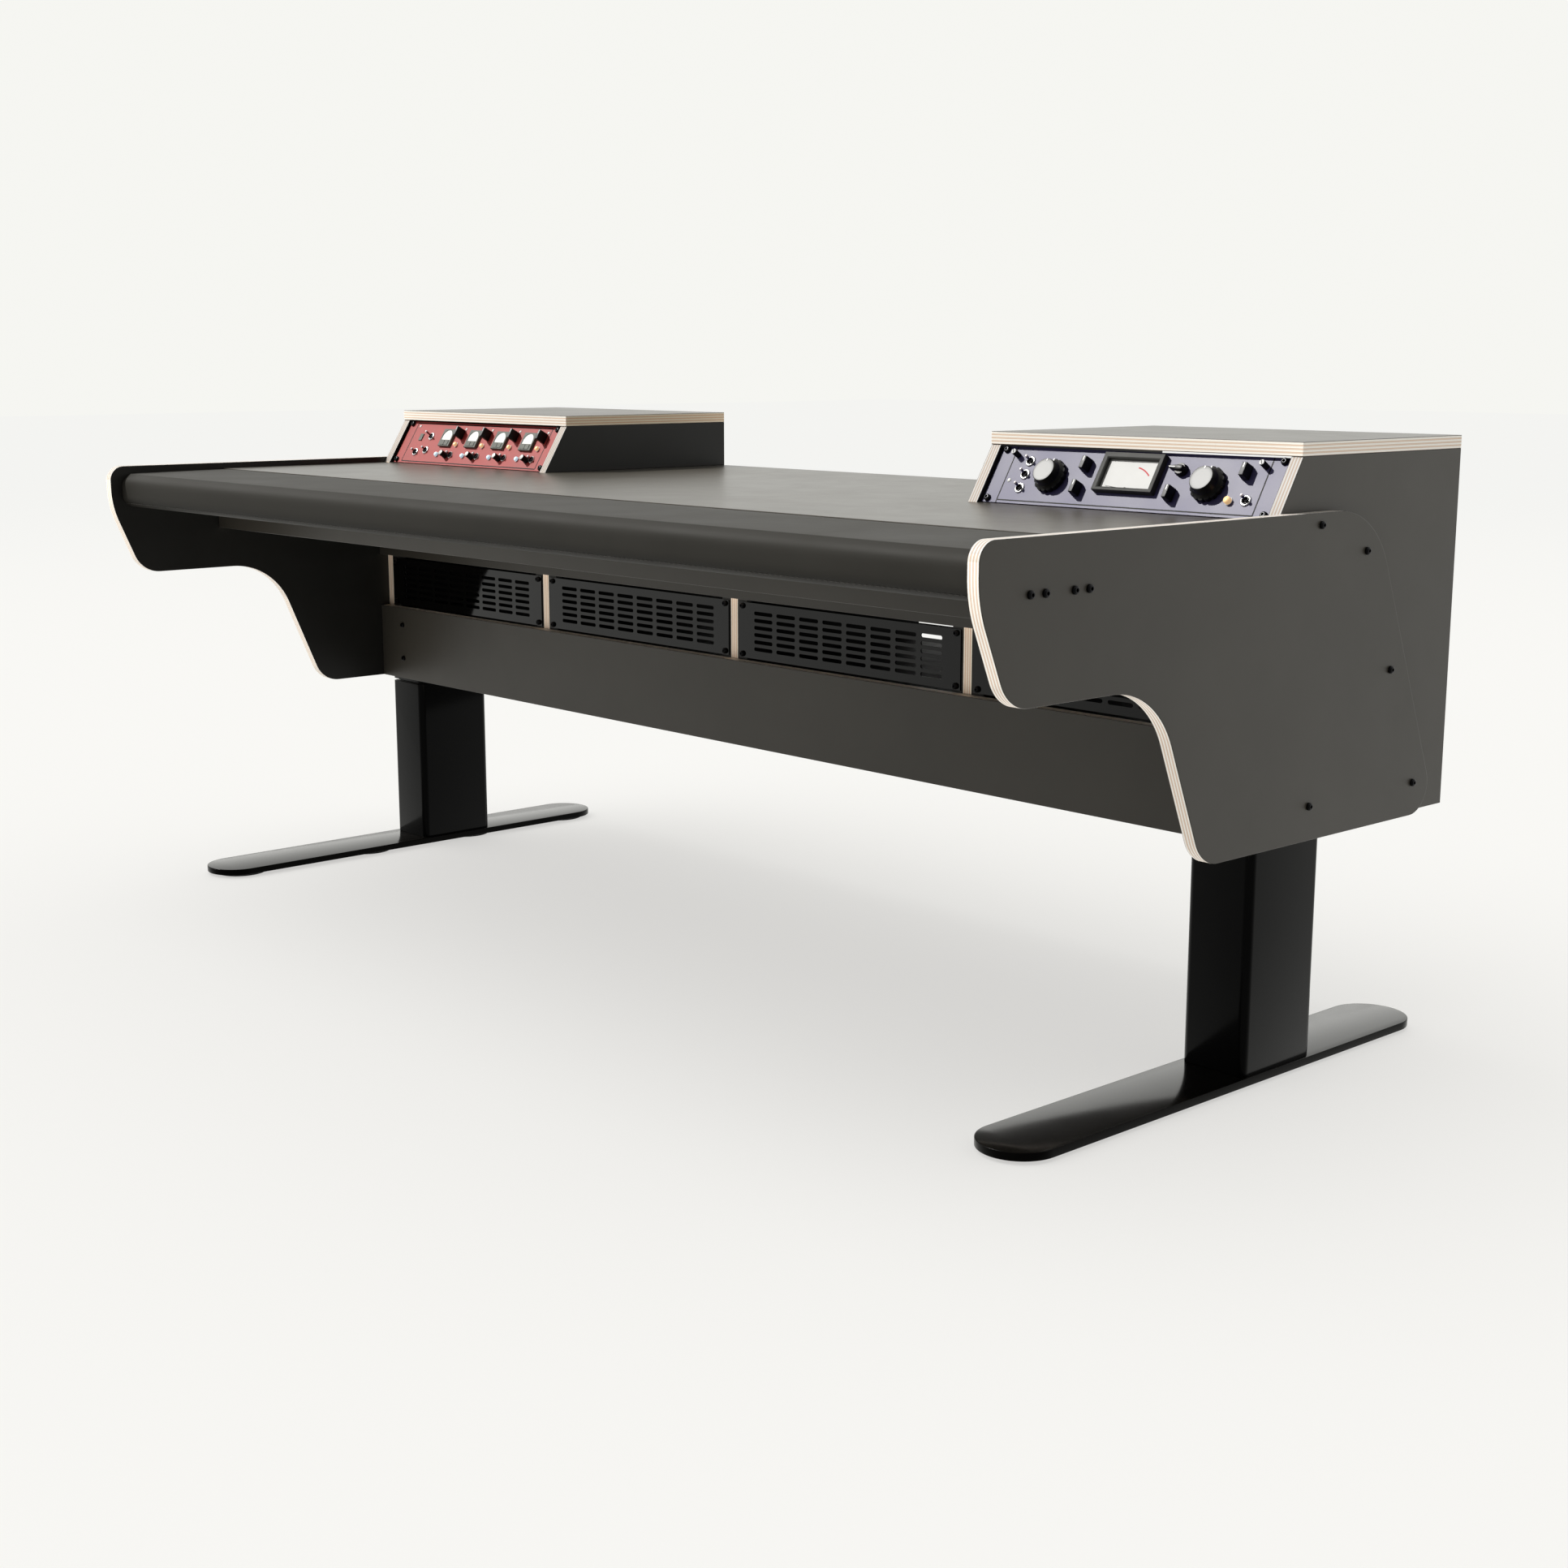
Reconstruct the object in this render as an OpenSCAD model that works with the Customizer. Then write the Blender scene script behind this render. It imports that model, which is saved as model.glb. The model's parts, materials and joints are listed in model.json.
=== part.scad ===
// Studio desk: plywood carcass with two sloped equipment pods, four vented
// bays under the worktop, a padded front armrest and two telescopic legs.
// Everything is placed from the carcass: x = 0 is the middle, y = 0 the front
// of the side panels and z = 0 the underside of the carcass. place() then
// moves it so that the origin is on the floor, under the middle of the desk.

/* [Carcass] */
// Thickness of the plywood boards
board = 18; // [17:0.5:18.5]
// Clear width of each of the four equipment bays
bay_clear = 490; // [488:1:510]
// Depth from the front of the side panels to the rear of the pods
depth = 966; // [950:1:1000]
// Height of the carcass underside above the floor with the legs retracted
clearance = 325; // [325:1:350]
// Height of the worktop surface above the carcass underside
top_z = 408.5; // [406:0.5:410]
// Height of the side panels
side_h = 418.5; // [416:0.5:425]
// Distance of the worktop front edge behind the front of the side panels
top_front = 217; // [212:1:224]

/* [Bays] */
// Front of the modesty panel and of the rear apron
apron_y = 538; // [530:1:545]
// Height of the bay floor surface
bay_floor_z = 135.5; // [130:0.5:138]
// Clear height of the bays
bay_h = 95.5; // [95:0.5:100]
// Lower edge of the rear apron
apron_bottom = 233.6; // [232:0.2:236]

/* [Pods] */
// Clear width of each pod between its walls
pod_clear = 486; // [485:0.5:488]
// Lean of the pod fronts from the vertical, in degrees
lean = 31.66; // [30:0.1:33]
// Height of the underside of the pod lids
lid_z = 487.2; // [487:0.2:492]
// Distance of the equipment panels behind the front edges of the pod walls
recess = 6; // [5:0.5:7]

/* [Equipment panels] */
// Width of a rack panel
panel_w = 482.6; // [482:0.1:482.6]
// Height of a two unit rack panel
panel_h = 88.1; // [87.5:0.1:88.1]
// Thickness of a rack panel
panel_t = 2; // [1.5:0.1:2]
// Half of the distance between the two columns of fixing holes
hole_x = 232.55; // [232:0.05:233]
// Half of the distance between the upper and the lower fixing holes
hole_z = 38.1; // [37.5:0.1:38.5]
// Columns of slots in a vent panel
slot_cols = 8; // [6:1:8]
// Rows of slots in a vent panel
slot_rows = 6; // [4:1:6]
// Length of a vent slot
slot_l = 43; // [36:1:45]
// Height of a vent slot
slot_h = 6; // [4:0.5:7]

/* [Legs] */
// Width of a foot plate
foot_w = 109; // [105:1:110]
// Thickness of a foot plate
foot_t = 11; // [9:0.5:12]
// Front end of the foot plates
foot_front = 120; // [110:5:150]
// Thickness of the glides under the foot plates
glide_t = 4.8; // [4:0.2:6]
// Width of the outer column tube
col_w = 100; // [98:1:102]
// Depth of the outer column tube
col_d = 150; // [146:1:154]
// Wall of the column tubes
col_t = 3; // [2:0.5:3]

/* [Controls] */
// Radius of the control shafts
shaft_r = 3; // [2.5:0.1:3]
// Radial clearance of the shafts in the panels
shaft_gap = 0.3; // [0.2:0.1:0.5]
// Height of the bar knobs
bar_h = 15; // [12:1:18]
// Skirt diameter of the two large knobs
large_d = 50; // [44:1:52]
// Number of flutes on the large knobs
flutes = 20; // [12:2:28]
// Tilt of the toggle levers from the panel normal, in degrees
toggle_tilt = 9; // [6:1:10]

/* [Hidden] */
$fn = 48;

in_x = 2*bay_clear + 1.5*board;       // inner faces of the end walls
wall_x = in_x + board;                // outer faces of the end walls
out_x = wall_x + board;               // outer faces of the side panels
under_z = top_z - board;              // underside of the worktop
wall_y = apron_y + board;             // front of the boards behind the apron
floor_z = bay_floor_z - board;        // underside of the bay floor
roof_z = bay_floor_z + bay_h;         // underside of the bay roof
bay_c = [-1.5*(bay_clear + board), -0.5*(bay_clear + board),
          0.5*(bay_clear + board),  1.5*(bay_clear + board)];
pod_in = in_x - pod_clear;            // inner face of a pod's inner wall
pod_c = in_x - pod_clear/2;           // middle of a pod
leg_c = 963;                          // middle of a leg
col_y = 549 + 75;                     // middle of a column
foot_top = glide_t + foot_t - clearance;
// Middle of a sloped equipment panel on its front face
rise = panel_h/2 + (0.15 + panel_t*sin(lean) + recess*sin(lean) - 0.5)/cos(lean);
rack_y = wall_y + recess*cos(lean) + rise*sin(lean);
rack_z = top_z + 0.5 - recess*sin(lean) + rise*cos(lean);
lid_front = wall_y + (lid_z - top_z - 0.5)*tan(lean) - 1.5;

ply = [0.23, 0.22, 0.21];
steel = [0.05, 0.05, 0.055];

// Screws through each side panel: [y, z, depth behind the outer face]
side_screws = [[81.7, 355.6, 54], [106.6, 355.6, 54], [155.4, 355.6, 54],
  [180.3, 355.6, 54], [623.4, 403.2, 31], [725.8, 365.1, 31],
  [794.2, 205.1, 31], [861.8, 45.2, 31], [623.3, 45.3, 31]];
modesty_screws = [[951, 103], [951, 39]];

// Controls of the blue unit: [u, v] from the middle of its panel
blue_bars = [[-77, 18], [-78, -18.5], [79, -18.3], [184.5, 19]];
blue_pointer = [81.5, 18.5];
blue_larges = [[-132.6, -0.7], [132.6, -0.7]];
blue_toggles = [[-182, 21.8], [-182, 1.2], [-182, -20], [197, -19.2]];
blue_meter = [1, 9, 101, 57.5];
blue_pivot = [3, -14.5];
// Controls of the red unit: channel pitch and positions in the first channel
red_pitch = 86;
red_first = -94;
red_slab = [42.2, 19.2];
red_round = [17.5, -25];
red_toggle = [31, -22.7];
red_amber = [34.5, -1.2];
red_blue = [-13.6, -23.7];
red_lefts = [[-152.5, 13.4], [-182.5, -20.8], [-151, -15.9]];

// ---- helpers ----
module place() translate([0, -depth/2, clearance]) children();
module both() { children(); mirror([1, 0, 0]) children(); }
// A box from its lowest to its highest corner
module box(a, b) translate(a) cube(b - a);
// A board parallel to the side panels, drawn as (y, z), from x to x + t
module upright(x, t) translate([x, 0, 0]) rotate([90, 0, 90]) linear_extrude(t) children();
// A sloped panel's own frame: x across, y up the slope, z out of the panel
module on_rack(x) place() translate([x, rack_y, rack_z]) rotate([90 - lean, 0, 0]) children();

function unit(v) = v/norm(v);
function turn(d) = d > 180 ? d - 360 : d < -180 ? d + 360 : d;
// Points of the arc of radius r that rounds the corner b between a and c
function arc_at(a, b, c, r, n) =
  let (u = unit(a - b), v = unit(c - b), h = acos(u*v)/2,
       p = b + u*r/tan(h), q = b + v*r/tan(h), o = b + unit(u + v)*r/sin(h),
       s = atan2(p[1] - o[1], p[0] - o[0]),
       d = turn(atan2(q[1] - o[1], q[0] - o[0]) - s))
  [for (k = [0:n]) o + r*[cos(s + d*k/n), sin(s + d*k/n)]];
// Outline with rounded corners from a list of [y, z, radius]
function rounded(c, n = 10) = [for (i = [0:len(c) - 1])
  let (m = len(c), a = c[(i + m - 1) % m], b = c[i], e = c[(i + 1) % m])
  each (b[2] == 0 ? [[b[0], b[1]]]
    : arc_at([a[0], a[1]], [b[0], b[1]], [e[0], e[1]], b[2], n))];

module rrect(w, d, r) {
  square([w - 2*r, d], center = true);
  square([w, d - 2*r], center = true);
  for (i = [-1, 1], j = [-1, 1]) translate([i*(w/2 - r), j*(d/2 - r)]) circle(r);
}
module tube(w, d, t, r, z0, z1) translate([0, 0, z0]) linear_extrude(z1 - z0)
  difference() { rrect(w, d, r); rrect(w - 2*t, d - 2*t, r - t + 0.5); }

// ---- carcass ----
side_outline = rounded([[0, side_h, 25], [0, 350, 150], [50.7, 230.1, 50],
  [307.9, 230.1, 120], [404.4, 0, 50], [920.6, 0, 40], [743.4, side_h, 120]]);
module side_panel() difference() {
  upright(wall_x, board) polygon(side_outline);
  for (s = side_screws) translate([wall_x - 1, s[0], s[1]]) rotate([0, 90, 0]) cylinder(r = 3.2, h = board + 2);
}
module side_panel_right() color(ply) place() side_panel();
module side_panel_left() color(ply) place() mirror([1, 0, 0]) side_panel();

// Sloped front of a wall from z0 up to the lids
function slope_y(z) = wall_y + (z - top_z - 0.5)*tan(lean);
module end_walls() color(ply) place() both() difference() {
  upright(in_x, board) polygon([[wall_y, 0], [depth, 0], [depth, lid_z],
    [slope_y(lid_z), lid_z], [wall_y, top_z + 0.5]]);
  for (s = side_screws) if (s[0] > wall_y) translate([out_x - s[2], s[0], s[1]])
    rotate([0, 90, 0]) cylinder(r = 2.9, h = s[2]);
}
module desktop() color([0.42, 0.41, 0.38]) place() difference() {
  union() {
    box([-wall_x, top_front, under_z], [wall_x, wall_y, top_z]);
    box([-in_x, wall_y - 1, under_z], [in_x, depth, top_z]);
  }
  // openings that let the sloped equipment hang below the surface
  both() box([pod_c - 225, 569.5, under_z - 1], [pod_c + 225, 800, top_z + 1]);
}
module front_rail() color(ply) place() box([-wall_x, 203, 302], [wall_x, 203 + board, under_z]);
module rear_apron() color(ply) place() box([-wall_x, apron_y, apron_bottom], [wall_x, wall_y, under_z]);
module modesty_panel() color(ply) place() difference() {
  box([-wall_x, apron_y, 0], [wall_x, wall_y, bay_floor_z + 0.1]);
  both() for (s = modesty_screws) translate([s[0], apron_y - 1, s[1]]) rotate([-90, 0, 0]) cylinder(r = 3.2, h = board + 2);
}
module base_board() color(ply) place() box([-in_x, wall_y, 0], [in_x, depth, board]);
module bay_floor() color(ply) place() box([-in_x, wall_y, floor_z], [in_x, depth, bay_floor_z]);
module bay_roof() color(ply) place() box([-in_x, wall_y, roof_z], [in_x, depth, roof_z + board]);
module bay_dividers() color(ply) place() for (i = [-1, 0, 1]) {
  x = i*(bay_clear + board);
  box([x - board/2, wall_y, board], [x + board/2, depth, floor_z]);
  box([x - board/2, wall_y, bay_floor_z], [x + board/2, depth, roof_z]);
  box([x - board/2, wall_y, roof_z + board], [x + board/2, depth, under_z]);
}
// Steel angles that tie the modesty panel to the leg heads
module leg_brackets() color(steel) place() both() difference() {
  union() {
    box([906, wall_y, board], [996, wall_y + 3, 112]);
    box([906, wall_y + 2, board], [996, wall_y + 60, board + 3]);
  }
  for (s = modesty_screws) translate([s[0], wall_y - 1, s[1]]) rotate([-90, 0, 0]) cylinder(r = 2.9, h = 5);
}

// ---- armrest ----
module armrest_board() color(ply) place() difference() {
  box([-wall_x, 45, 346.6], [wall_x, 203, 364.6]);
  both() for (s = side_screws) if (s[0] < 200) translate([out_x - s[2], s[0], s[1]])
    rotate([0, 90, 0]) cylinder(r = 2.9, h = s[2]);
}
pad_outline = rounded([[18, 405.8, 20], [18, 360, 12], [44.7, 346.8, 3],
  [44.7, 364.9, 0], [202.7, 364.9, 0], [202.7, 390.8, 0], [216.7, 390.8, 0],
  [216.7, 407.6, 1.5]], 6);
module armrest_pad() color([0.15, 0.15, 0.14]) place() upright(-wall_x + 0.3, 2*wall_x - 0.6) polygon(pad_outline);

// ---- bays ----
module slot() { square([slot_l - slot_h, slot_h], center = true);
  for (i = [-1, 1]) translate([i*(slot_l - slot_h)/2, 0]) circle(slot_h/2, $fn = 24); }
module vent_panel() {
  rotate([90, 0, 0]) translate([0, 0, -panel_t]) linear_extrude(panel_t) difference() {
    square([panel_w, panel_h], center = true);
    for (i = [0:slot_cols - 1], j = [0:slot_rows - 1])
      translate([(i - (slot_cols - 1)/2)*52.35, (j - (slot_rows - 1)/2)*11.34]) slot();
    for (i = [-1, 1], j = [-1, 1]) translate([i*hole_x, j*hole_z]) circle(3.2);
  }
  // folded stiffening lips
  for (j = [-1, 1]) translate([-220, panel_t - 0.5, j > 0 ? panel_h/2 - 1.5 : -panel_h/2]) cube([440, 12, 1.5]);
}
vent_y = wall_y - 1.5;
vent_z = bay_floor_z + bay_h/2;
module vent_panels() color(steel) place() for (x = bay_c) translate([x, vent_y, vent_z]) vent_panel();
module bay_rail() difference() {
  union() {
    box([224, vent_y + panel_t, bay_floor_z + 0.5], [bay_clear/2 - 0.05, vent_y + panel_t + 2, roof_z - 0.5]);
    box([bay_clear/2 - 2, vent_y + panel_t, bay_floor_z + 0.5], [bay_clear/2 - 0.05, vent_y + 28, roof_z - 0.5]);
  }
  for (j = [-1, 0, 1]) translate([hole_x, vent_y, vent_z + j*hole_z]) rotate([-90, 0, 0]) cylinder(r = 2.9, h = 8);
}
module pod_rail() difference() {
  union() {
    box([222, -42.3, -panel_t - 2], [pod_clear/2 - 0.05, 42.3, -panel_t]);
    box([pod_clear/2 - 2, -33, -16], [pod_clear/2 - 0.05, 42.3, -panel_t]);
  }
  for (j = [-1, 1]) translate([hole_x, j*hole_z, -8]) cylinder(r = 2.9, h = 8);
}
module rack_rails() color(steel) {
  place() for (x = bay_c) translate([x, 0, 0]) both() bay_rail();
  for (x = [-pod_c, pod_c]) on_rack(x) both() pod_rail();
}

// ---- pods ----
module pod_walls() color(ply) place() both() upright(pod_in - board, board)
  polygon([[slope_y(top_z), top_z], [depth, top_z], [depth, lid_z], [slope_y(lid_z), lid_z]]);
module pod_lids() color(ply) place() both() box([pod_in - board, lid_front, lid_z], [wall_x, depth, lid_z + board]);

// ---- equipment units ----
module face_panel() linear_extrude(panel_t) difference() {
  square([panel_w, panel_h], center = true);
  for (i = [-1, 1], j = [-1, 1]) translate([i*hole_x, j*hole_z]) circle(3.2);
  children();
}
module hole_at(p, r) translate([p[0], p[1]]) circle(r);
module blue_unit_panel() color([0.62, 0.61, 0.71]) on_rack(pod_c) translate([0, 0, -panel_t]) face_panel() {
  for (p = concat(blue_bars, blue_larges, [blue_pointer])) hole_at(p, shaft_r + shaft_gap);
  for (p = blue_toggles) hole_at(p, 4.2);
}
function ch(i, p) = [red_first + i*red_pitch + p[0], p[1]];
module red_unit_panel() color([0.78, 0.42, 0.45]) on_rack(-pod_c) translate([0, 0, -panel_t]) face_panel() {
  for (i = [0:3]) { hole_at(ch(i, red_slab), shaft_r + shaft_gap); hole_at(ch(i, red_round), shaft_r + shaft_gap);
    hole_at(ch(i, red_toggle), 4.2); }
  for (p = red_lefts) hole_at(p, 4.2);
}
// Sheet metal cases behind the panels, open towards them
module unit_chassis() color(steel) for (x = [-pod_c, pod_c]) on_rack(x) difference() {
  box([-215, -41, -162], [215, 41, -panel_t]);
  box([-213.8, -39.8, -160.8], [213.8, 39.8, 0]);
}
module bezel(w, h, ow, oh, t, lip) difference() {
  translate([-ow/2, -oh/2, 0]) cube([ow, oh, t]);
  translate([-w/2, -h/2, -1]) cube([w, h, t + 2]);
  translate([-ow/2 + lip, -oh/2 + lip, -1]) cube([ow - 2*lip, oh - 2*lip, t - 1.5]);
}
module meter_bezels() color([0.08, 0.08, 0.085]) {
  on_rack(pod_c) translate([blue_meter[0], blue_meter[1], 0]) difference() {
    translate([-blue_meter[2]/2, -blue_meter[3]/2, 0]) cube([blue_meter[2], blue_meter[3], 9]);
    translate([-39, -21.7, -1]) cube([82, 40.8, 12]);
    translate([-48, -26.5, -1]) cube([96, 53, 8]);
  }
  on_rack(-pod_c) for (i = [0:3]) translate([red_first + i*red_pitch, 11, 0]) difference() {
    translate([-18, -17.75, 0]) cube([36, 35.5, 5]);
    linear_extrude(20, center = true) intersection() {
      translate([-12.25, -4.7]) square([24.5, 19.5]);
      translate([0, -4.7]) circle(19.5, $fn = 64);
    }
    translate([-16, -15.75, -1]) cube([32, 33, 4]);
  }
}
module meter_dials() color([0.93, 0.93, 0.9]) {
  on_rack(pod_c) translate([blue_meter[0] - 47.7, blue_meter[1] - 26.2, 1.5]) cube([95.4, 52.4, 1.5]);
  on_rack(-pod_c) for (i = [0:3]) translate([red_first + i*red_pitch - 15.7, 11 - 15.45, 0.6]) cube([31.4, 32.4, 1.8]);
}
module lamp(p, r, h) translate([p[0], p[1], 0]) rotate_extrude() polygon(concat([[0, 0], [r + 0.8, 0], [r + 0.8, 1]],
  [for (k = [0:5]) [r*cos(k*18), h - 0.6*r + 0.6*r*sin(k*18)]], [[0, h]]));
module lamps() color([1, 0.6, 0.2]) {
  on_rack(pod_c) lamp([171.5, -21.3], 4.5, 8);
  on_rack(-pod_c) for (i = [0:3]) { lamp(ch(i, red_amber), 3.2, 6); lamp(ch(i, red_blue), 3.2, 5); }
}
module nut(p, r = 8) translate([p[0], p[1], 0]) {
  rotate_extrude() polygon([[4.2, 0], [r, 0], [r, 1], [r - 0.8, 1.6], [5.6, 1.6], [5.6, 2.6], [5, 3], [4.2, 3]]);
}
module switch_nuts() color([0.8, 0.8, 0.82]) {
  on_rack(pod_c) for (p = blue_toggles) nut(p);
  on_rack(-pod_c) { for (i = [0:3]) nut(ch(i, red_toggle), 7); for (p = red_lefts) nut(p); }
}
module trim_posts() color(steel) on_rack(pod_c) for (x = [-208, 208]) translate([x, 29.8, 0]) difference() {
  cylinder(r = 4, h = 14);
  translate([-0.6, -5, 12.8]) cube([1.2, 10, 3]);
}

// ---- fasteners ----
// Pan head screw along -z with its head above z = 0
module screw(l, hr = 4.8, hh = 2.6) difference() {
  union() { translate([0, 0, -l]) cylinder(r = 2.7, h = l + 0.1); cylinder(r1 = hr, r2 = hr - 0.8, h = hh); }
  translate([0, 0, hh - 1.4]) cylinder(r = 1.8, h = 3);
}
module screws() color(steel) {
  place() both() for (s = side_screws) translate([out_x, s[0], s[1]]) rotate([0, 90, 0]) screw(s[2] - 1, 5.2, 4.5);
  place() both() for (s = modesty_screws) translate([s[0], apron_y, s[1]]) rotate([90, 0, 0]) screw(24, 4.8, 4.3);
  place() for (x = bay_c, i = [-1, 1], j = [-1, 1]) translate([x + i*hole_x, vent_y, vent_z + j*hole_z]) rotate([90, 0, 0]) screw(10, 4.8, 4.3);
  for (x = [-pod_c, pod_c]) on_rack(x) for (i = [-1, 1], j = [-1, 1]) translate([i*hole_x, j*hole_z, 0]) screw(5.5, 5.2, 4.5);
}

// ---- legs ----
module foot_plates() color(steel) place() both() translate([leg_c, 0, foot_top - foot_t]) linear_extrude(foot_t) {
  translate([-foot_w/2, foot_front + foot_w/2]) square([foot_w, depth - foot_front - foot_w]);
  translate([0, foot_front + foot_w/2]) circle(foot_w/2, $fn = 96);
  translate([0, depth - foot_w/2]) circle(foot_w/2, $fn = 96);
}
module foot_glides() color([0.03, 0.03, 0.03]) place() both() for (y = [foot_front + 61, 448, 675, depth - 61])
  translate([leg_c, y, -clearance]) cylinder(r = 46, h = glide_t, $fn = 64);
col_bottom = foot_top;
module column(w, d, z0, z1) translate([leg_c, col_y, 0]) tube(w, d, col_t, 11, z0, z1);
module columns_outer() color(steel) place() both() column(col_w, col_d, col_bottom, -10);
module columns_middle() color(steel) place() both() column(col_w - 8, col_d - 8, col_bottom + 5, -9);
module columns_inner() color(steel) place() both() {
  column(col_w - 16, col_d - 16, col_bottom + 9, -5.9);
  translate([leg_c, col_y, -6]) linear_extrude(6) rrect(col_w, col_d, 11);
}
// Motor, gearbox and spindle inside each inner tube
module lift_drives() color([0.55, 0.55, 0.57]) place() both() translate([leg_c, col_y, 0]) {
  translate([-30, -48, -46]) cube([60, 84, 40]);
  translate([0, -20, -130]) cylinder(r = 24, h = 90);
  translate([0, 20, -280]) cylinder(r = 9, h = 240);
}

// ---- moving controls ----
module shaft() translate([0, 0, -8]) cylinder(r = shaft_r, h = 11);
// Bar knob with a slab grip along y
module bar_knob(w0, w1, l, h) {
  shaft();
  hull() {
    translate([-w0/2, -l/2, 0.6]) cube([w0, l, 1]);
    translate([-w1/2, -l/2 + 0.4, h - 0.5]) cube([w1, l - 0.8, 0.5]);
  }
}
module blue_bar_knob(i) color(steel) on_rack(pod_c) translate(concat(blue_bars[i], 0)) bar_knob(10.5, 6.5, 19, bar_h);
module blue_pointer_knob() color(steel) on_rack(pod_c) translate(concat(blue_pointer, 0)) {
  shaft();
  translate([0, 0, 0.6]) cylinder(r1 = 9, r2 = 8, h = 7.4);
  hull() {
    translate([-13, -2, 4]) cube([1, 4, 1]);
    translate([-15.5, -1.4, 11.2]) cube([1, 2.8, 0.8]);
    translate([7, -3.4, 4]) cube([1, 6.8, 8]);
    translate([-2, -4.4, 4]) cube([1, 8.8, 8]);
  }
}
function flute_r(a, r, d) = r - d*(0.5 - 0.5*cos(a*flutes));
module blue_large_knob(i) color(steel) on_rack(pod_c) translate(concat(blue_larges[i], 0)) {
  shaft();
  translate([0, 0, 0.6]) linear_extrude(8) polygon([for (k = [0:6*flutes - 1])
    let (a = k*60/flutes, r = flute_r(a, large_d/2, 1.6)) r*[cos(a), sin(a)]]);
  rotate_extrude($fn = 72) polygon([[0, 8], [large_d/2 - 2.4, 8], [large_d/2 - 4.4, 9.6], [17.5, 21], [16.5, 22], [0, 22]]);
}
// Toggle lever on a cross pin whose axis passes through the origin
module lever(l) { rotate([0, 90, 0]) cylinder(r = 0.8, h = 6.4, center = true, $fn = 24);
  rotate([-toggle_tilt, 0, 0]) rotate_extrude($fn = 24) polygon(concat([[0, -5], [1.1, -5], [1.1, -2.4]],
  [for (k = [-1.4:0.35:1.4]) [2.8*cos(k*40), 2.8*sin(k*40)]], [[1.4, 2.6], [2.2, l - 2], [1.7, l - 0.6], [0.8, l], [0, l]])); }
module blue_toggle(i) color([0.8, 0.8, 0.82]) on_rack(pod_c) translate(concat(blue_toggles[i], 0)) lever(14);
module blue_meter_needle() color(steel) on_rack(pod_c) translate([blue_pivot[0], blue_pivot[1], 3.4]) rotate([0, 0, 84]) {
  cylinder(r = 2.4, h = 2);
  translate([-0.35, -1, 0.8]) cube([0.7, 36, 0.6]);
}
module red_slab_knob(i) color(steel) on_rack(-pod_c) translate(concat(ch(i, red_slab), 0)) bar_knob(7, 5, 19, 19);
module red_round_knob(i) color(steel) on_rack(-pod_c) translate(concat(ch(i, red_round), 0)) {
  shaft();
  rotate_extrude() polygon([[0, 0.6], [6.2, 0.6], [6.2, 3], [5.4, 4], [5.2, 13.2], [4.4, 14], [0, 14]]);
}
module red_channel_toggle(i) color([0.8, 0.8, 0.82]) on_rack(-pod_c) translate(concat(ch(i, red_toggle), 0)) lever(12);
module red_left_toggle(i) color([0.8, 0.8, 0.82]) on_rack(-pod_c) translate(concat(red_lefts[i], 0)) lever(i == 0 ? 17 : 12);

side_panel_left();
side_panel_right();
end_walls();
desktop();
front_rail();
rear_apron();
modesty_panel();
base_board();
bay_floor();
bay_roof();
bay_dividers();
armrest_board();
armrest_pad();
vent_panels();
rack_rails();
pod_walls();
pod_lids();
red_unit_panel();
blue_unit_panel();
unit_chassis();
meter_bezels();
meter_dials();
lamps();
switch_nuts();
trim_posts();
screws();
leg_brackets();
foot_plates();
foot_glides();
columns_outer();
columns_middle();
columns_inner();
lift_drives();
blue_bar_knob(0);  // blue_bar_knob_1
blue_bar_knob(1);  // blue_bar_knob_2
blue_bar_knob(2);  // blue_bar_knob_3
blue_bar_knob(3);  // blue_bar_knob_4
blue_pointer_knob();
blue_large_knob(0);  // blue_large_knob_1
blue_large_knob(1);  // blue_large_knob_2
blue_toggle(0);  // blue_toggle_1
blue_toggle(1);  // blue_toggle_2
blue_toggle(2);  // blue_toggle_3
blue_toggle(3);  // blue_toggle_4
blue_meter_needle();
red_slab_knob(0);  // red_slab_knob_1
red_slab_knob(1);  // red_slab_knob_2
red_slab_knob(2);  // red_slab_knob_3
red_slab_knob(3);  // red_slab_knob_4
red_round_knob(0);  // red_round_knob_1
red_round_knob(1);  // red_round_knob_2
red_round_knob(2);  // red_round_knob_3
red_round_knob(3);  // red_round_knob_4
red_channel_toggle(0);  // red_channel_toggle_1
red_channel_toggle(1);  // red_channel_toggle_2
red_channel_toggle(2);  // red_channel_toggle_3
red_channel_toggle(3);  // red_channel_toggle_4
red_left_toggle(0);  // red_left_toggle_1
red_left_toggle(1);  // red_left_toggle_2
red_left_toggle(2);  // red_left_toggle_3
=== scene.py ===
import json
import math
import bpy
import bmesh
from mathutils import Matrix, Vector, noise

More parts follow.
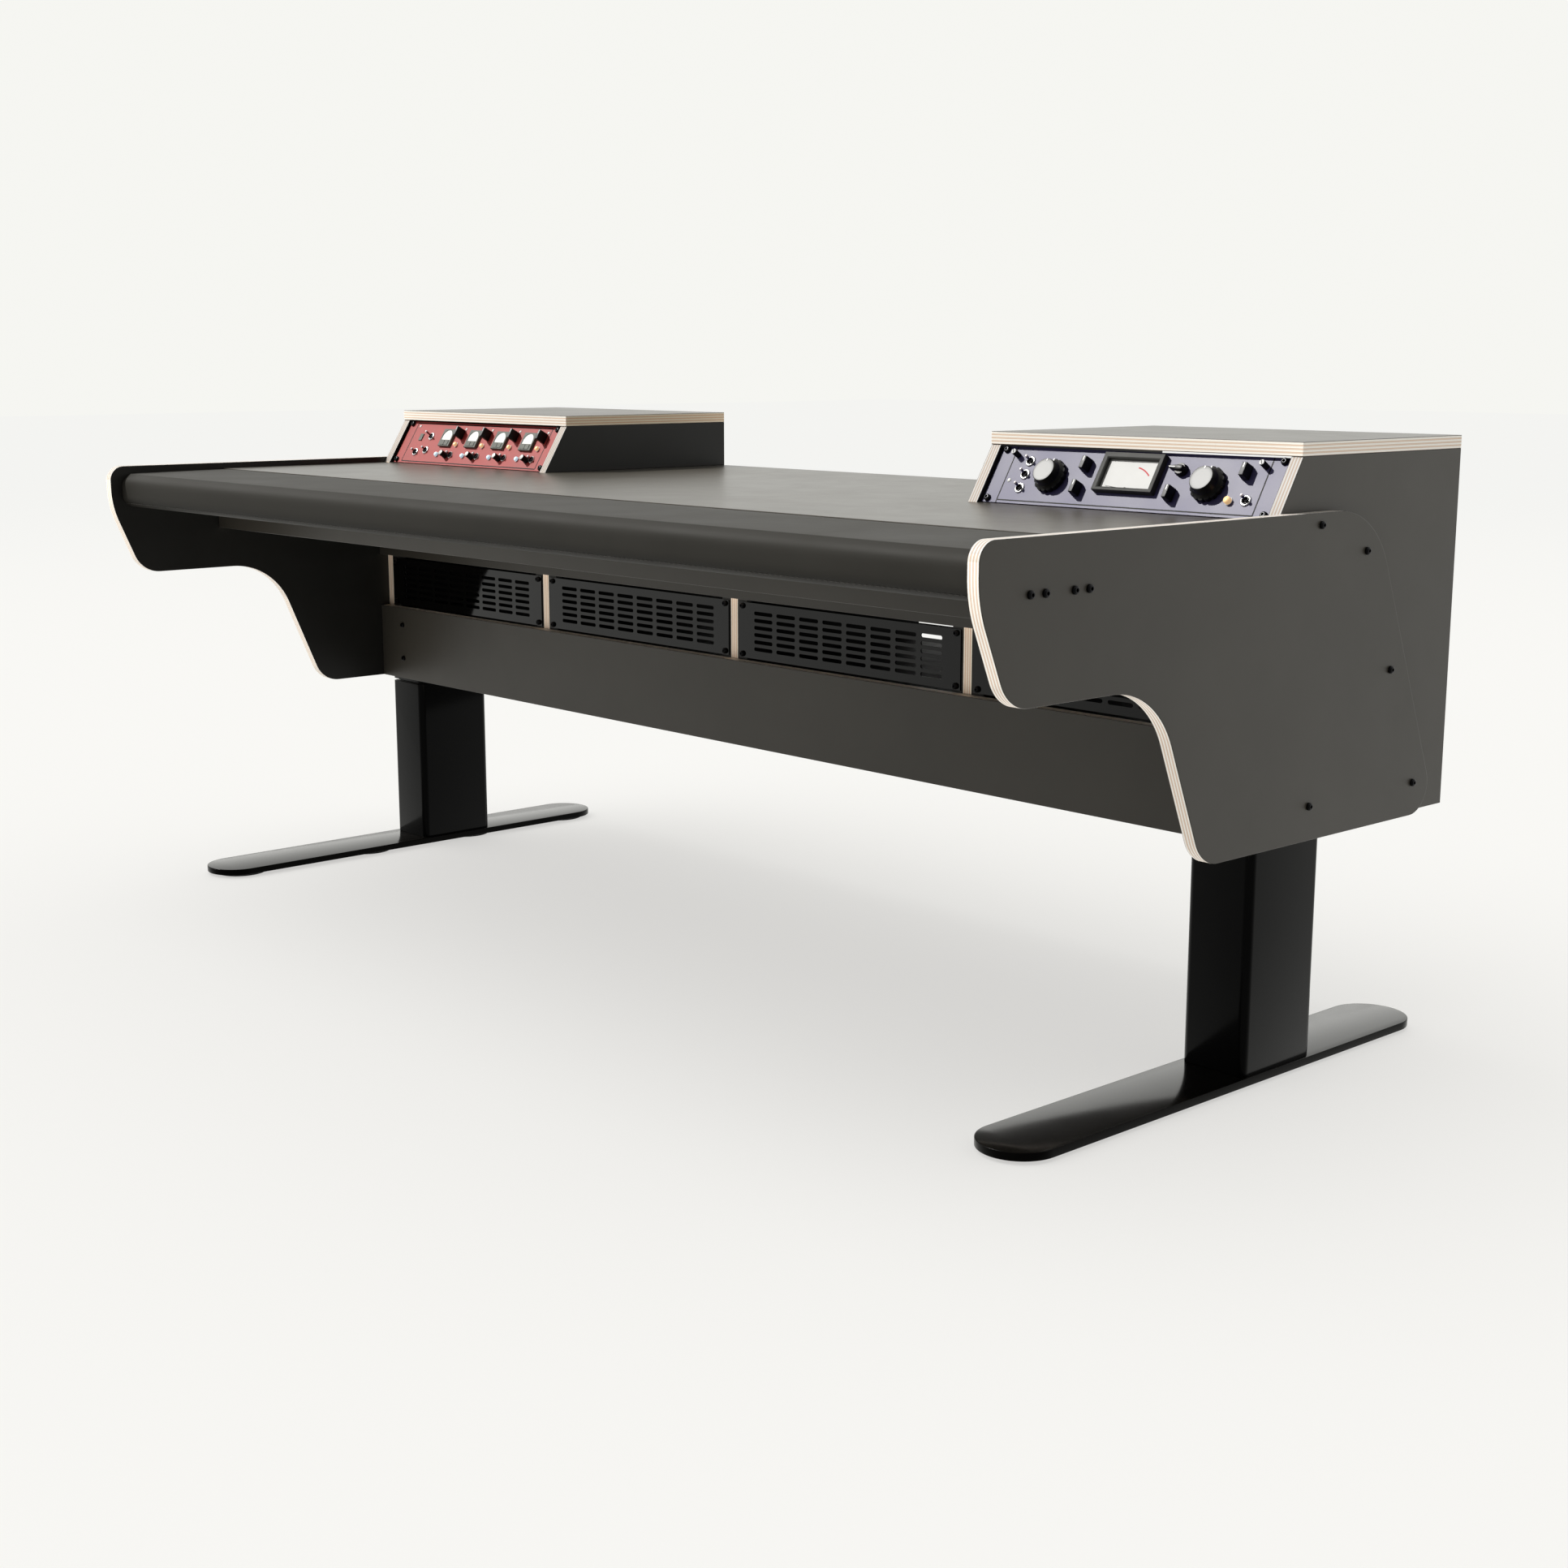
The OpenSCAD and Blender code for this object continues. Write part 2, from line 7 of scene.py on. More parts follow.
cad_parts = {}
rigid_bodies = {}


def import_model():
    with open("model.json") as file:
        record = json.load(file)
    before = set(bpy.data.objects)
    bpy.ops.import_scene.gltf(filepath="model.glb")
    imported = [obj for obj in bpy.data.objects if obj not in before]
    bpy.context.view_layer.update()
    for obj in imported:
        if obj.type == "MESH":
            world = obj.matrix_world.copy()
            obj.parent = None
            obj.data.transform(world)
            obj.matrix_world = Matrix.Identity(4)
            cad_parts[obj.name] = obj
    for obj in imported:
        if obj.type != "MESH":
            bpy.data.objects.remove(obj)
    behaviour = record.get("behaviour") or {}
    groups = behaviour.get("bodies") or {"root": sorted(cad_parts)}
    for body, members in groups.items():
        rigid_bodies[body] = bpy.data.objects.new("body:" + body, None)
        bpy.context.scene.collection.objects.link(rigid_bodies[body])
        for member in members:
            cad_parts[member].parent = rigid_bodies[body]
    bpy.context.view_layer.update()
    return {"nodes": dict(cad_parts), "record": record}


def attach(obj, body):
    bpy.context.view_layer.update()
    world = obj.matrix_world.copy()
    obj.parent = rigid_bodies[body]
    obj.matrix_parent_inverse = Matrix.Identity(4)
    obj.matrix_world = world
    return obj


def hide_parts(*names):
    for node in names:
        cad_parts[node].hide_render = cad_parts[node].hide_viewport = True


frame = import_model()
scene = bpy.context.scene
REC = frame["record"]
NODE_BODY = {n: b for b, ns in REC["behaviour"]["bodies"].items() for n in ns}
NODE_SLOT = {s["node"]: s["material_slot"] for s in REC["subparts"]}

# ------------------------------------------------------------------ dimensions (mm, carcass frame)
BOARD = 18.0
IN_X, WALL_X, OUT_X = 1007.0, 1025.0, 1043.0
DEPTH, SIDE_H, TOP_Z = 966.0, 418.5, 408.5
UNDER_Z = TOP_Z - BOARD
APRON_Y, WALL_Y = 538.0, 556.0
FLOOR_TOP, ROOF_Z = 135.5, 231.0
LEAN = math.radians(31.66)
LID_Z = 487.2
BAYS = (-762.0, -254.0, 254.0, 762.0)
POD_C, POD_IN = 764.0, 521.0
PANEL_W, PANEL_H, PANEL_T = 482.6, 88.1, 2.0
HOLE_X, HOLE_Z = 232.55, 38.1
LEG_C, COL_Y = 963.0, 624.0


def P(x, y, z):
    """Carcass millimetres to the row frame in metres."""
    return Vector((x / 1000.0, (y - 483.0) / 1000.0, (z + 325.0) / 1000.0))


_s, _c = math.sin(LEAN), math.cos(LEAN)
_rise = PANEL_H / 2 + (0.15 + PANEL_T * _s + 6 * _s - 0.5) / _c
RACK_Y = WALL_Y + 6 * _c + _rise * _s
RACK_Z = TOP_Z + 0.5 - 6 * _s + _rise * _c


def rack(xc, u=0.0, v=0.0, h=0.0, spin=0.0):
    """Matrix of a point on a sloped panel: u across, v up the slope, h out of it, mm scaled to metres."""
    m = Matrix.Translation(P(xc, RACK_Y, RACK_Z)) @ Matrix.Rotation(math.pi / 2 - LEAN, 4, "X")
    m = m @ Matrix.Scale(0.001, 4) @ Matrix.Translation((u, v, h))
    return m @ Matrix.Rotation(math.radians(spin), 4, "Z")


# ------------------------------------------------------------------ materials
class Mat:
    def __init__(self, name, color=(0.5, 0.5, 0.5), rough=0.5, metal=0.0, spec=0.5, coat=0.0, coat_rough=0.1, sheen=0.0):
        self.m = bpy.data.materials.new(name)
        self.m.use_nodes = True
        self.t = self.m.node_tree
        self.t.nodes.clear()
        self.out = self.t.nodes.new("ShaderNodeOutputMaterial")
        self.b = self.t.nodes.new("ShaderNodeBsdfPrincipled")
        self.t.links.new(self.b.outputs[0], self.out.inputs[0])
        i = self.b.inputs
        i["Base Color"].default_value = (*color, 1)
        i["Roughness"].default_value = rough
        i["Metallic"].default_value = metal
        i["Specular IOR Level"].default_value = spec
        i["Coat Weight"].default_value = coat
        i["Coat Roughness"].default_value = coat_rough
        i["Sheen Weight"].default_value = sheen
        self.tc = None

    def node(self, kind, **kw):
        n = self.t.nodes.new(kind)
        for k, v in kw.items():
            setattr(n, k, v)
        return n

    def link(self, a, b):
        self.t.links.new(a, b)

    def obj(self, scale=(1, 1, 1), rot=(0, 0, 0)):
        if self.tc is None:
            self.tc = self.node("ShaderNodeTexCoord")
        mp = self.node("ShaderNodeMapping")
        mp.inputs["Scale"].default_value = scale
        mp.inputs["Rotation"].default_value = rot
        self.link(self.tc.outputs["Object"], mp.inputs["Vector"])
        return mp.outputs[0]

    def noise(self, vec, scale, detail=3.0, rough=0.5, dist=0.0):
        n = self.node("ShaderNodeTexNoise")
        n.inputs["Scale"].default_value = scale
        n.inputs["Detail"].default_value = detail
        n.inputs["Roughness"].default_value = rough
        n.inputs["Distortion"].default_value = dist
        self.link(vec, n.inputs["Vector"])
        return n.outputs["Fac"]

    def voronoi(self, vec, scale, feature="F1", rand=1.0):
        n = self.node("ShaderNodeTexVoronoi", feature=feature)
        n.inputs["Scale"].default_value = scale
        n.inputs["Randomness"].default_value = rand
        self.link(vec, n.inputs["Vector"])
        return n.outputs["Distance"]

    def ramp(self, fac, stops, interp="LINEAR"):
        n = self.node("ShaderNodeValToRGB")
        n.color_ramp.interpolation = interp
        e = n.color_ramp.elements
        while len(e) < len(stops):
            e.new(0.5)
        for s, (p, c) in zip(e, stops):
            s.position = p
            s.color = (*c, 1) if len(c) == 3 else c
        self.link(fac, n.inputs[0])
        return n.outputs[0]

    def grey(self, fac, a, b, lo=0.0, hi=1.0):
        n = self.node("ShaderNodeMapRange")
        n.inputs["From Min"].default_value = lo
        n.inputs["From Max"].default_value = hi
        n.inputs["To Min"].default_value = a
        n.inputs["To Max"].default_value = b
        self.link(fac, n.inputs["Value"])
        return n.outputs[0]

    def math(self, op, a, b=None, c=None):
        n = self.node("ShaderNodeMath", operation=op)
        for k, v in enumerate((a, b, c)):
            if v is None:
                continue
            if isinstance(v, (int, float)):
                n.inputs[k].default_value = v
            else:
                self.link(v, n.inputs[k])
        return n.outputs[0]

    def mix(self, fac, a, b, mode="MIX"):
        n = self.node("ShaderNodeMix", data_type="RGBA", blend_type=mode)
        for sock, v in ((n.inputs[0], fac), (n.inputs[6], a), (n.inputs[7], b)):
            if isinstance(v, (int, float)):
                sock.default_value = v
            elif isinstance(v, (tuple, list)):
                sock.default_value = (*v, 1) if len(v) == 3 else v
            else:
                self.link(v, sock)
        return n.outputs[2]

    def attr(self, name):
        n = self.node("ShaderNodeAttribute", attribute_name=name)
        return n.outputs["Fac"]

    def color(self, sock):
        self.link(sock, self.b.inputs["Base Color"])

    def rough(self, sock):
        self.link(sock, self.b.inputs["Roughness"])

    def bump(self, height, strength, dist):
        n = self.node("ShaderNodeBump")
        n.inputs["Strength"].default_value = strength
        n.inputs["Distance"].default_value = dist
        self.link(height, n.inputs["Height"])
        prev = self.b.inputs["Normal"]
        if prev.is_linked:
            self.link(prev.links[0].from_socket, n.inputs["Normal"])
        self.link(n.outputs[0], prev)
        return n


def laminate(name, base, rough_lo, rough_hi, spec=0.5):
    m = Mat(name, base, rough_lo, spec=spec)
    v = m.obj()
    cloud = m.noise(v, 3.0, 4, 0.6)
    fine = m.noise(v, 1400, 2, 0.6)
    smudge = m.noise(v, 11, 5, 0.65, 0.6)
    m.color(m.mix(m.grey(cloud, 0.0, 1.0, 0.3, 0.7), tuple(c * 0.9 for c in base), tuple(c * 1.1 for c in base)))
    m.rough(m.math("ADD", m.grey(smudge, rough_lo, rough_hi, 0.35, 0.7), m.grey(fine, -0.03, 0.03)))
    m.bump(fine, 0.2, 0.00002)
    return m.m


def ply(name, axis, k=1.0, spec=0.4, coat=0.12, tone=(1.0, 1.0, 1.0)):
    """Birch plywood edge: pale plies with darker glue lines, laminate at both faces."""
    m = Mat(name, (0.8, 0.7, 0.58), 0.42, spec=spec, coat=coat, coat_rough=0.3)
    sc = [42.0, 42.0, 42.0]
    sc[axis] = 520.0
    def shade(col):
        return tuple(min(1.0, q * k * t) for q, t in zip(col, tone))
    v = m.obj(tuple(sc))
    t = m.attr("ply")
    wob = m.noise(m.obj((9, 9, 9)), 1.0, 2)
    t2 = m.math("ADD", t, m.grey(wob, -0.006, 0.006))
    wave = m.math("FRACT", m.math("MULTIPLY", m.math("SUBTRACT", t2, 0.047), 3.6 / 0.906))
    # one period: a broad pale ply, a glue line, a thinner brown-pink cross ply and the next glue line
    bands = m.ramp(wave, [(p, shade(col)) for p, col in (
        (0.0, (0.50, 0.28, 0.17)), (0.06, (0.96, 0.91, 0.83)), (0.35, (0.98, 0.95, 0.88)), (0.60, (0.96, 0.90, 0.82)),
        (0.66, (0.47, 0.26, 0.15)), (0.72, (0.80, 0.61, 0.47)), (0.92, (0.80, 0.61, 0.46)), (1.0, (0.50, 0.28, 0.17)))])
    streak = m.noise(v, 1.0, 5, 0.65)
    c = m.mix(m.grey(streak, 0.0, 0.16, 0.3, 0.75), bands, shade((0.95, 0.90, 0.82)))
    pores = m.noise(m.obj(tuple(s * 12 for s in (60, 60, 60))), 1.0, 3)
    c = m.mix(m.grey(pores, 0.0, 0.35, 0.58, 0.8), c, (0.50, 0.36, 0.26))
    edge = m.math("LESS_THAN", m.math("ABSOLUTE", m.math("SUBTRACT", t, 0.5)), 0.5 - 0.044)
    c = m.mix(edge, (0.05, 0.047, 0.044), c)
    m.color(c)
    m.rough(m.grey(streak, 0.36, 0.52))
    m.bump(m.math("ADD", m.math("MULTIPLY", streak, 0.6), wave), 0.15, 0.00008)
    return m.m


def powder(name, base, rough, spec=0.5, metal=0.0, amp=0.35, coat=0.0):
    m = Mat(name, base, rough, metal, spec, coat=coat, coat_rough=0.12)
    v = m.obj()
    grain = m.noise(v, 2600, 2, 0.55)
    wide = m.noise(v, 14, 4, 0.6)
    m.color(m.mix(m.grey(wide, 0, 1, 0.3, 0.7), tuple(c * 0.88 for c in base), tuple(min(1, c * 1.1) for c in base)))
    m.rough(m.math("ADD", m.grey(wide, rough - 0.04, rough + 0.05), m.grey(grain, -0.04, 0.04)))
    m.bump(grain, amp, 0.00002)
    return m.m


def metal(name, base, rough, aniso_scale=None):
    m = Mat(name, base, rough, 1.0)
    v = m.obj(aniso_scale or (1, 1, 1))
    n = m.noise(v, 900 if aniso_scale is None else 1.0, 3)
    m.rough(m.grey(n, max(0.02, rough - 0.06), rough + 0.08))
    m.bump(n, 0.08, 0.00003)
    return m.m


def plastic(name, base, rough, spec=0.5, cloud=0.15):
    m = Mat(name, base, rough, spec=spec)
    v = m.obj()
    g = m.noise(v, 1800, 2)
    w = m.noise(v, 60, 3)
    m.color(m.mix(m.grey(w, 0, 1, 0.3, 0.7), tuple(c * (1 - cloud) for c in base), tuple(min(1, c * (1 + 0.8 * cloud)) for c in base)))
    m.rough(m.grey(g, rough - 0.05, rough + 0.06))
    m.bump(g, 0.12, 0.00004)
    return m.m


def lens(name, base, glow):
    m = Mat(name, base, 0.12, spec=0.6, coat=0.6, coat_rough=0.04)
    i = m.b.inputs
    i["Subsurface Weight"].default_value = 0.35
    i["Subsurface Radius"].default_value = (0.004, 0.002, 0.001)
    i["Emission Strength"].default_value = glow
    n = m.noise(m.obj(), 700, 2)
    c = m.mix(m.grey(n, 0, 0.5), base, tuple(min(1, x * 1.25 + 0.04) for x in base))
    m.color(c)
    m.link(c, i["Emission Color"])
    return m.m


LAM = laminate("laminate_black", (0.041, 0.0365, 0.029), 0.37, 0.415)
# lighter copy of the black laminate for the worktop and lids: painted light on the horizontal faces
TOPLAM_PAINTED_LIGHT = laminate("laminate_worktop_painted_light", (0.054, 0.048, 0.038), 0.315, 0.355)
# darker copy of the black laminate: painted shade on right-facing faces and under the carcass
LAM_PAINTED_SHADE = laminate("laminate_black_painted_shade", (0.013, 0.0125, 0.011), 0.34, 0.44, 0.35)
# near-black, dull laminate inside the bays: painted shade in the recesses
LAM_BAY_PAINTED_SHADE = laminate("laminate_black_bay_painted_shade", (0.0045, 0.0043, 0.0040), 0.55, 0.65, 0.05)
PLY = [ply("ply_edge_x", 0), ply("ply_edge_y", 1), ply("ply_edge_z", 2)]
# darker, cooler ply for front edges that slope up to the key light: painted shade
PLY_SLOPE_PAINTED_SHADE = ply("ply_edge_slope_painted_shade", 0, 0.52, 0.08, 0.0, (1.0, 1.02, 1.07))
# darker copies of the ply for edges that turn up to the key light: painted shade
PLY_UP_PAINTED_SHADE = [ply("ply_edge_up_painted_shade_a", 0, 0.80, 0.12, 0.0), ply("ply_edge_up_painted_shade_b", 0, 0.66, 0.12, 0.0, (0.99, 1.03, 1.09))]
PLY_BAY = ply("ply_edge_bay", 0, 1.05, 0.4, 0.12, (1.03, 0.90, 0.80))
# brighter, warmer ply for the left lid's right-facing edge: painted light
PLY_WARM_PAINTED_LIGHT = ply("ply_edge_warm_painted_light", 0, 1.05, 0.4, 0.12, (1.04, 0.885, 0.725))
BLACK = powder("steel_black_matte", (0.019, 0.0185, 0.0165), 0.48, spec=0.42)
FOOT = powder("steel_black_foot", (0.0030, 0.0026, 0.0022), 0.13, spec=0.42, amp=0.02)
FOOT_EDGE = powder("steel_black_foot_edge", (0.0018, 0.0016, 0.0014), 0.26, spec=0.07, amp=0.03)
LEG = powder("steel_black_gloss", (0.002, 0.002, 0.002), 0.16, spec=0.13, amp=0.03)
RUBBER = plastic("rubber_black", (0.015, 0.015, 0.015), 0.75, 0.3)
DRIVE = metal("steel_machined", (0.55, 0.55, 0.56), 0.35)
RED = powder("paint_dusty_red", (0.325, 0.035, 0.031), 0.52, spec=0.40, amp=0.1)
BLUE = powder("paint_blue_grey", (0.042, 0.037, 0.105), 0.46, spec=0.40, amp=0.1)
INK = plastic("ink_black", (0.004, 0.004, 0.005), 0.55, 0.15)
BEZEL = plastic("plastic_bezel", (0.028, 0.028, 0.026), 0.60, 0.3)
BEZEL_GREY = plastic("plastic_bezel_grey", (0.105, 0.112, 0.10), 0.55, 0.3)
GREY_KEY = plastic("plastic_grey_key", (0.105, 0.11, 0.095), 0.5, 0.3)
KNOB = plastic("plastic_knob", (0.004, 0.004, 0.004), 0.38, 0.25)
POST_END = plastic("post_end_satin", (0.40, 0.40, 0.41), 0.45, 0.3)
KNOB_TOP = plastic("plastic_knob_top", (0.10, 0.10, 0.105), 0.5, 0.3)
WHITE = plastic("plastic_white", (0.62, 0.62, 0.605), 0.35)
CHROME = metal("chrome", (0.86, 0.86, 0.88), 0.09)
NUT = metal("nickel_satin", (0.80, 0.80, 0.81), 0.34)
# darkened chrome for the lever shafts: painted shade for the dark surroundings they reflect
LEVER_PAINTED_SHADE = metal("chrome_dark_painted_shade", (0.20, 0.195, 0.23), 0.16)
# pale pinkish tip of the chrome levers: painted highlight
TIP_PAINTED_HIGHLIGHT = plastic("lever_tip_painted_highlight", (0.86, 0.80, 0.84), 0.3)
SCREW = metal("screw_black_oxide", (0.030, 0.030, 0.032), 0.32)
AMBER = lens("lens_amber", (1.0, 0.60, 0.30), 0.46)
SKY = lens("lens_blue", (0.58, 0.80, 1.0), 0.50)


# ------------------------------------------------------------------ mesh helpers
def link_object(name, bm, mats, body, node=None, smooth=32.0, slot=None):
    me = bpy.data.meshes.new(name)
    bm.normal_update()
    bm.to_mesh(me)
    bm.free()
    for m in mats:
        me.materials.append(m)
    ob = bpy.data.objects.new(name, me)
    scene.collection.objects.link(ob)
    if smooth:
        me.shade_smooth()
        me.set_sharp_from_angle(angle=math.radians(smooth))
    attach(ob, body)
    if node:
        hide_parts(*([node] if isinstance(node, str) else node))
        slot = slot or NODE_SLOT[node if isinstance(node, str) else node[0]]
    return ob


def bevel_sharp(bm, width, segments=2, angle=28.0, edges=None):
    if edges is None:
        edges = [e for e in bm.edges if len(e.link_faces) == 2 and e.calc_face_angle(0) > math.radians(angle)]
    if edges and width > 0:
        bmesh.ops.bevel(bm, geom=edges, offset=width, offset_type="OFFSET", segments=segments, profile=0.5,
                        affect="EDGES", clamp_overlap=True)


def fillet(corners, n=14):
    """Rounded outline from (a, b, radius) corners."""
    out = []
    k = len(corners)
    for i in range(k):
        a, b, c = Vector(corners[i - 1][:2]), Vector(corners[i][:2]), Vector(corners[(i + 1) % k][:2])
        r = corners[i][2]
        if r <= 0:
            out.append(tuple(b))
            continue
        u, v = (a - b).normalized(), (c - b).normalized()
        h = math.acos(max(-1, min(1, u.dot(v)))) / 2
        o = b + (u + v).normalized() * (r / math.sin(h))
        p, q = b + u * (r / math.tan(h)), b + v * (r / math.tan(h))
        s = math.atan2(p.y - o.y, p.x - o.x)
        d = math.atan2(q.y - o.y, q.x - o.x) - s
        while d > math.pi:
            d -= 2 * math.pi
        while d < -math.pi:
            d += 2 * math.pi
        out += [(o.x + r * math.cos(s + d * j / n), o.y + r * math.sin(s + d * j / n)) for j in range(n + 1)]
    return out


def lift(axis, a, b, t):
    """Outline coordinates (a, b) and t along the axis to the row frame."""
    if axis == 0:
        return P(t, a, b)
    if axis == 1:
        return P(a, t, b)
    return P(a, b, t)


def prism(bm, outline, axis, t0, t1, bevel=0.0007, segments=2):
    """A prism whose vertices carry the ply coordinate from one face to the other."""
    part = bmesh.new()
    layer = part.verts.layers.float.new("ply")
    lo = [part.verts.new(lift(axis, a, b, t0)) for a, b in outline]
    hi = [part.verts.new(lift(axis, a, b, t1)) for a, b in outline]
    n = len(outline)
    part.faces.new(lo)
    part.faces.new(hi[::-1])
    for i in range(n):
        part.faces.new((lo[i], hi[i], hi[(i + 1) % n], lo[(i + 1) % n]))
    bmesh.ops.recalc_face_normals(part, faces=part.faces)
    bevel_sharp(part, bevel, segments)
    origin = lift(axis, 0, 0, t0)[axis]
    span = (t1 - t0) / 1000.0
    for v in part.verts:
        v[layer] = (v.co[axis] - origin) / span
    for f in part.faces:
        f.normal_update()
        # front edges that slope up towards the key light take the darker slope ply: painted shade
        f.material_index = 0 if abs(f.normal[axis]) > 0.75 else 2 if f.normal.y < -0.35 and f.normal.z > 0.35 and f.calc_area() > 6e-4 else 1
    me = bpy.data.meshes.new("tmp")
    part.to_mesh(me)
    part.free()
    bm.from_mesh(me)
    bpy.data.meshes.remove(me)


def new_board_mesh():
    bm = bmesh.new()
    bm.verts.layers.float.new("ply")
    return bm


def rect(a0, b0, a1, b1):
    return [(a0, b0), (a1, b0), (a1, b1), (a0, b1)]


def boards(name, node, axis, parts, face=LAM, bevel=0.0007):
    bm = new_board_mesh()
    for outline, t0, t1 in parts:
        prism(bm, outline, axis, t0, t1, bevel)
    return link_object(name, bm, [face, PLY[axis], PLY_SLOPE_PAINTED_SHADE], NODE_BODY[node], node, 14)


def add_mesh(bm, verts, faces, M, mat=0):
    vs = [bm.verts.new(M @ Vector(v)) for v in verts]
    out = []
    for f in faces:
        try:
            fc = bm.faces.new([vs[i] for i in f])
            fc.material_index = mat
            out.append(fc)
        except ValueError:
            pass
    return vs, out


def box(bm, lo, hi, M=None, mat=0, bevel=0.0, segments=2):
    """A box with rounded edges; lo and hi in the units of M."""
    M = M or Matrix.Identity(4)
    part = bmesh.new()
    x0, y0, z0 = lo
    x1, y1, z1 = hi
    v = [(x0, y0, z0), (x1, y0, z0), (x1, y1, z0), (x0, y1, z0), (x0, y0, z1), (x1, y0, z1), (x1, y1, z1), (x0, y1, z1)]
    f = [(3, 2, 1, 0), (4, 5, 6, 7), (0, 1, 5, 4), (1, 2, 6, 5), (2, 3, 7, 6), (3, 0, 4, 7)]
    vs, fs = add_mesh(part, v, f, Matrix.Identity(4), mat)
    if bevel:
        bevel_sharp(part, bevel, segments)
    for fc in part.faces:
        fc.material_index = mat
    merge(bm, part, M)


def merge(bm, part, M):
    part.transform(M)
    me = bpy.data.meshes.new("tmp")
    part.normal_update()
    part.to_mesh(me)
    part.free()
    bm.from_mesh(me)
    bpy.data.meshes.remove(me)


def revolve(bm, profile, M, seg=48, mats=None, warp=None, cap=True):
    """Turns a (radius, height) profile; mats gives each ring's material; warp(r, h, angle) changes the radius."""
    part = bmesh.new()
    rings = []
    for r, h in profile:
        if r < 1e-6:
            rings.append([part.verts.new((0, 0, h))])
            continue
        ring = []
        for k in range(seg):
            a = 2 * math.pi * k / seg
            rr = warp(r, h, a) if warp else r
            ring.append(part.verts.new((rr * math.cos(a), rr * math.sin(a), h)))
        rings.append(ring)
    for i in range(len(rings) - 1):
        a, b = rings[i], rings[i + 1]
        mi = mats[i] if mats else 0
        for k in range(seg):
            k2 = (k + 1) % seg
            if len(a) == 1 and len(b) == 1:
                continue
            if len(a) == 1:
                f = part.faces.new((a[0], b[k], b[k2]))
            elif len(b) == 1:
                f = part.faces.new((a[k], b[0], a[k2]))
            else:
                f = part.faces.new((a[k], b[k], b[k2], a[k2]))
            f.material_index = mi
    bmesh.ops.recalc_face_normals(part, faces=part.faces)
    merge(bm, part, M)


def stadium(w, y0, y1, n=40):
    r = w / 2
    return ([(r * math.cos(math.pi + math.pi * k / n), y0 + r + r * math.sin(math.pi + math.pi * k / n)) for k in range(n + 1)] +
            [(r * math.cos(math.pi * k / n), y1 - r + r * math.sin(math.pi * k / n)) for k in range(n + 1)])


def rounded_rect(w, d, r, n=10):
    out = []
    for cx, cy, a0 in ((w / 2 - r, d / 2 - r, 0), (-w / 2 + r, d / 2 - r, 90), (-w / 2 + r, -d / 2 + r, 180), (w / 2 - r, -d / 2 + r, 270)):
        out += [(cx + r * math.cos(math.radians(a0 + 90 * k / n)), cy + r * math.sin(math.radians(a0 + 90 * k / n))) for k in range(n + 1)]
    return out


def tube(bm, outer, inner, z0, z1, centre, bevel=0.0006):
    """Upright tube between two outlines with the same number of points."""
    part = bmesh.new()
    n = len(outer)
    rows = [[part.verts.new(P(centre[0] + a, centre[1] + b, z)) for a, b in o] for o, z in ((outer, z0), (outer, z1), (inner, z1), (inner, z0))]
    for i in range(4):
        a, b = rows[i], rows[(i + 1) % 4]
        for k in range(n):
            k2 = (k + 1) % n
            part.faces.new((a[k], a[k2], b[k2], b[k]))
    bmesh.ops.recalc_face_normals(part, faces=part.faces)
    bevel_sharp(part, bevel, 2, 60)
    merge(bm, part, Matrix.Identity(4))


# ------------------------------------------------------------------ carcass
SIDE = fillet([(0, SIDE_H, 25), (0, 350, 150), (50.7, 230.1, 50), (307.9, 230.1, 120), (404.4, 0, 50), (920.6, 0, 40), (743.4, SIDE_H, 120)], 18)


def paint_shade_right_faces(ob):
    """Faces that look to the right, towards the darker half of the room, take a darker copy of the laminate: painted
    shade.
    """
    ob.data.materials.append(LAM_PAINTED_SHADE)
    last = len(ob.data.materials) - 1
    for p in ob.data.polygons:
        if p.material_index == 0 and p.normal.x > 0.75:
            p.material_index = last


def paint_shade_top_edges(ob):
    """Edge faces that turn up towards the key light take a darker ply, the most upturned a darker and cooler one:
    painted shade against the key light.
    """
    for m in PLY_UP_PAINTED_SHADE:
        ob.data.materials.append(m)
    last = len(ob.data.materials) - 1
    for p in ob.data.polygons:
        if p.material_index in (1, 2) and p.normal.z > 0.12:
            p.material_index = last if p.normal.z > 0.4 else last - 1
    return ob


_cheek = paint_shade_top_edges(boards("cheek_right", "side_panel_right", 0, [(SIDE, WALL_X, OUT_X)], bevel=0.0009))
for p in _cheek.data.polygons:
    if p.normal.x > 0.25 and p.normal.y > 0.15:
        p.material_index = 0
paint_shade_right_faces(paint_shade_top_edges(boards("cheek_left", "side_panel_left", 0, [(SIDE, -OUT_X, -WALL_X)], bevel=0.0009)))


def slope_y(z):
    return WALL_Y + (z - TOP_Z - 0.5) * math.tan(LEAN)


END = [(WALL_Y, 0), (DEPTH, 0), (DEPTH, LID_Z), (slope_y(LID_Z), LID_Z), (WALL_Y, TOP_Z + 0.5)]
_ends = boards("outer_walls", "end_walls", 0, [(END, IN_X, WALL_X), (END, -WALL_X, -IN_X)])
_ends.data.materials.append(PLY_BAY)
_ends.data.materials.append(LAM_BAY_PAINTED_SHADE)
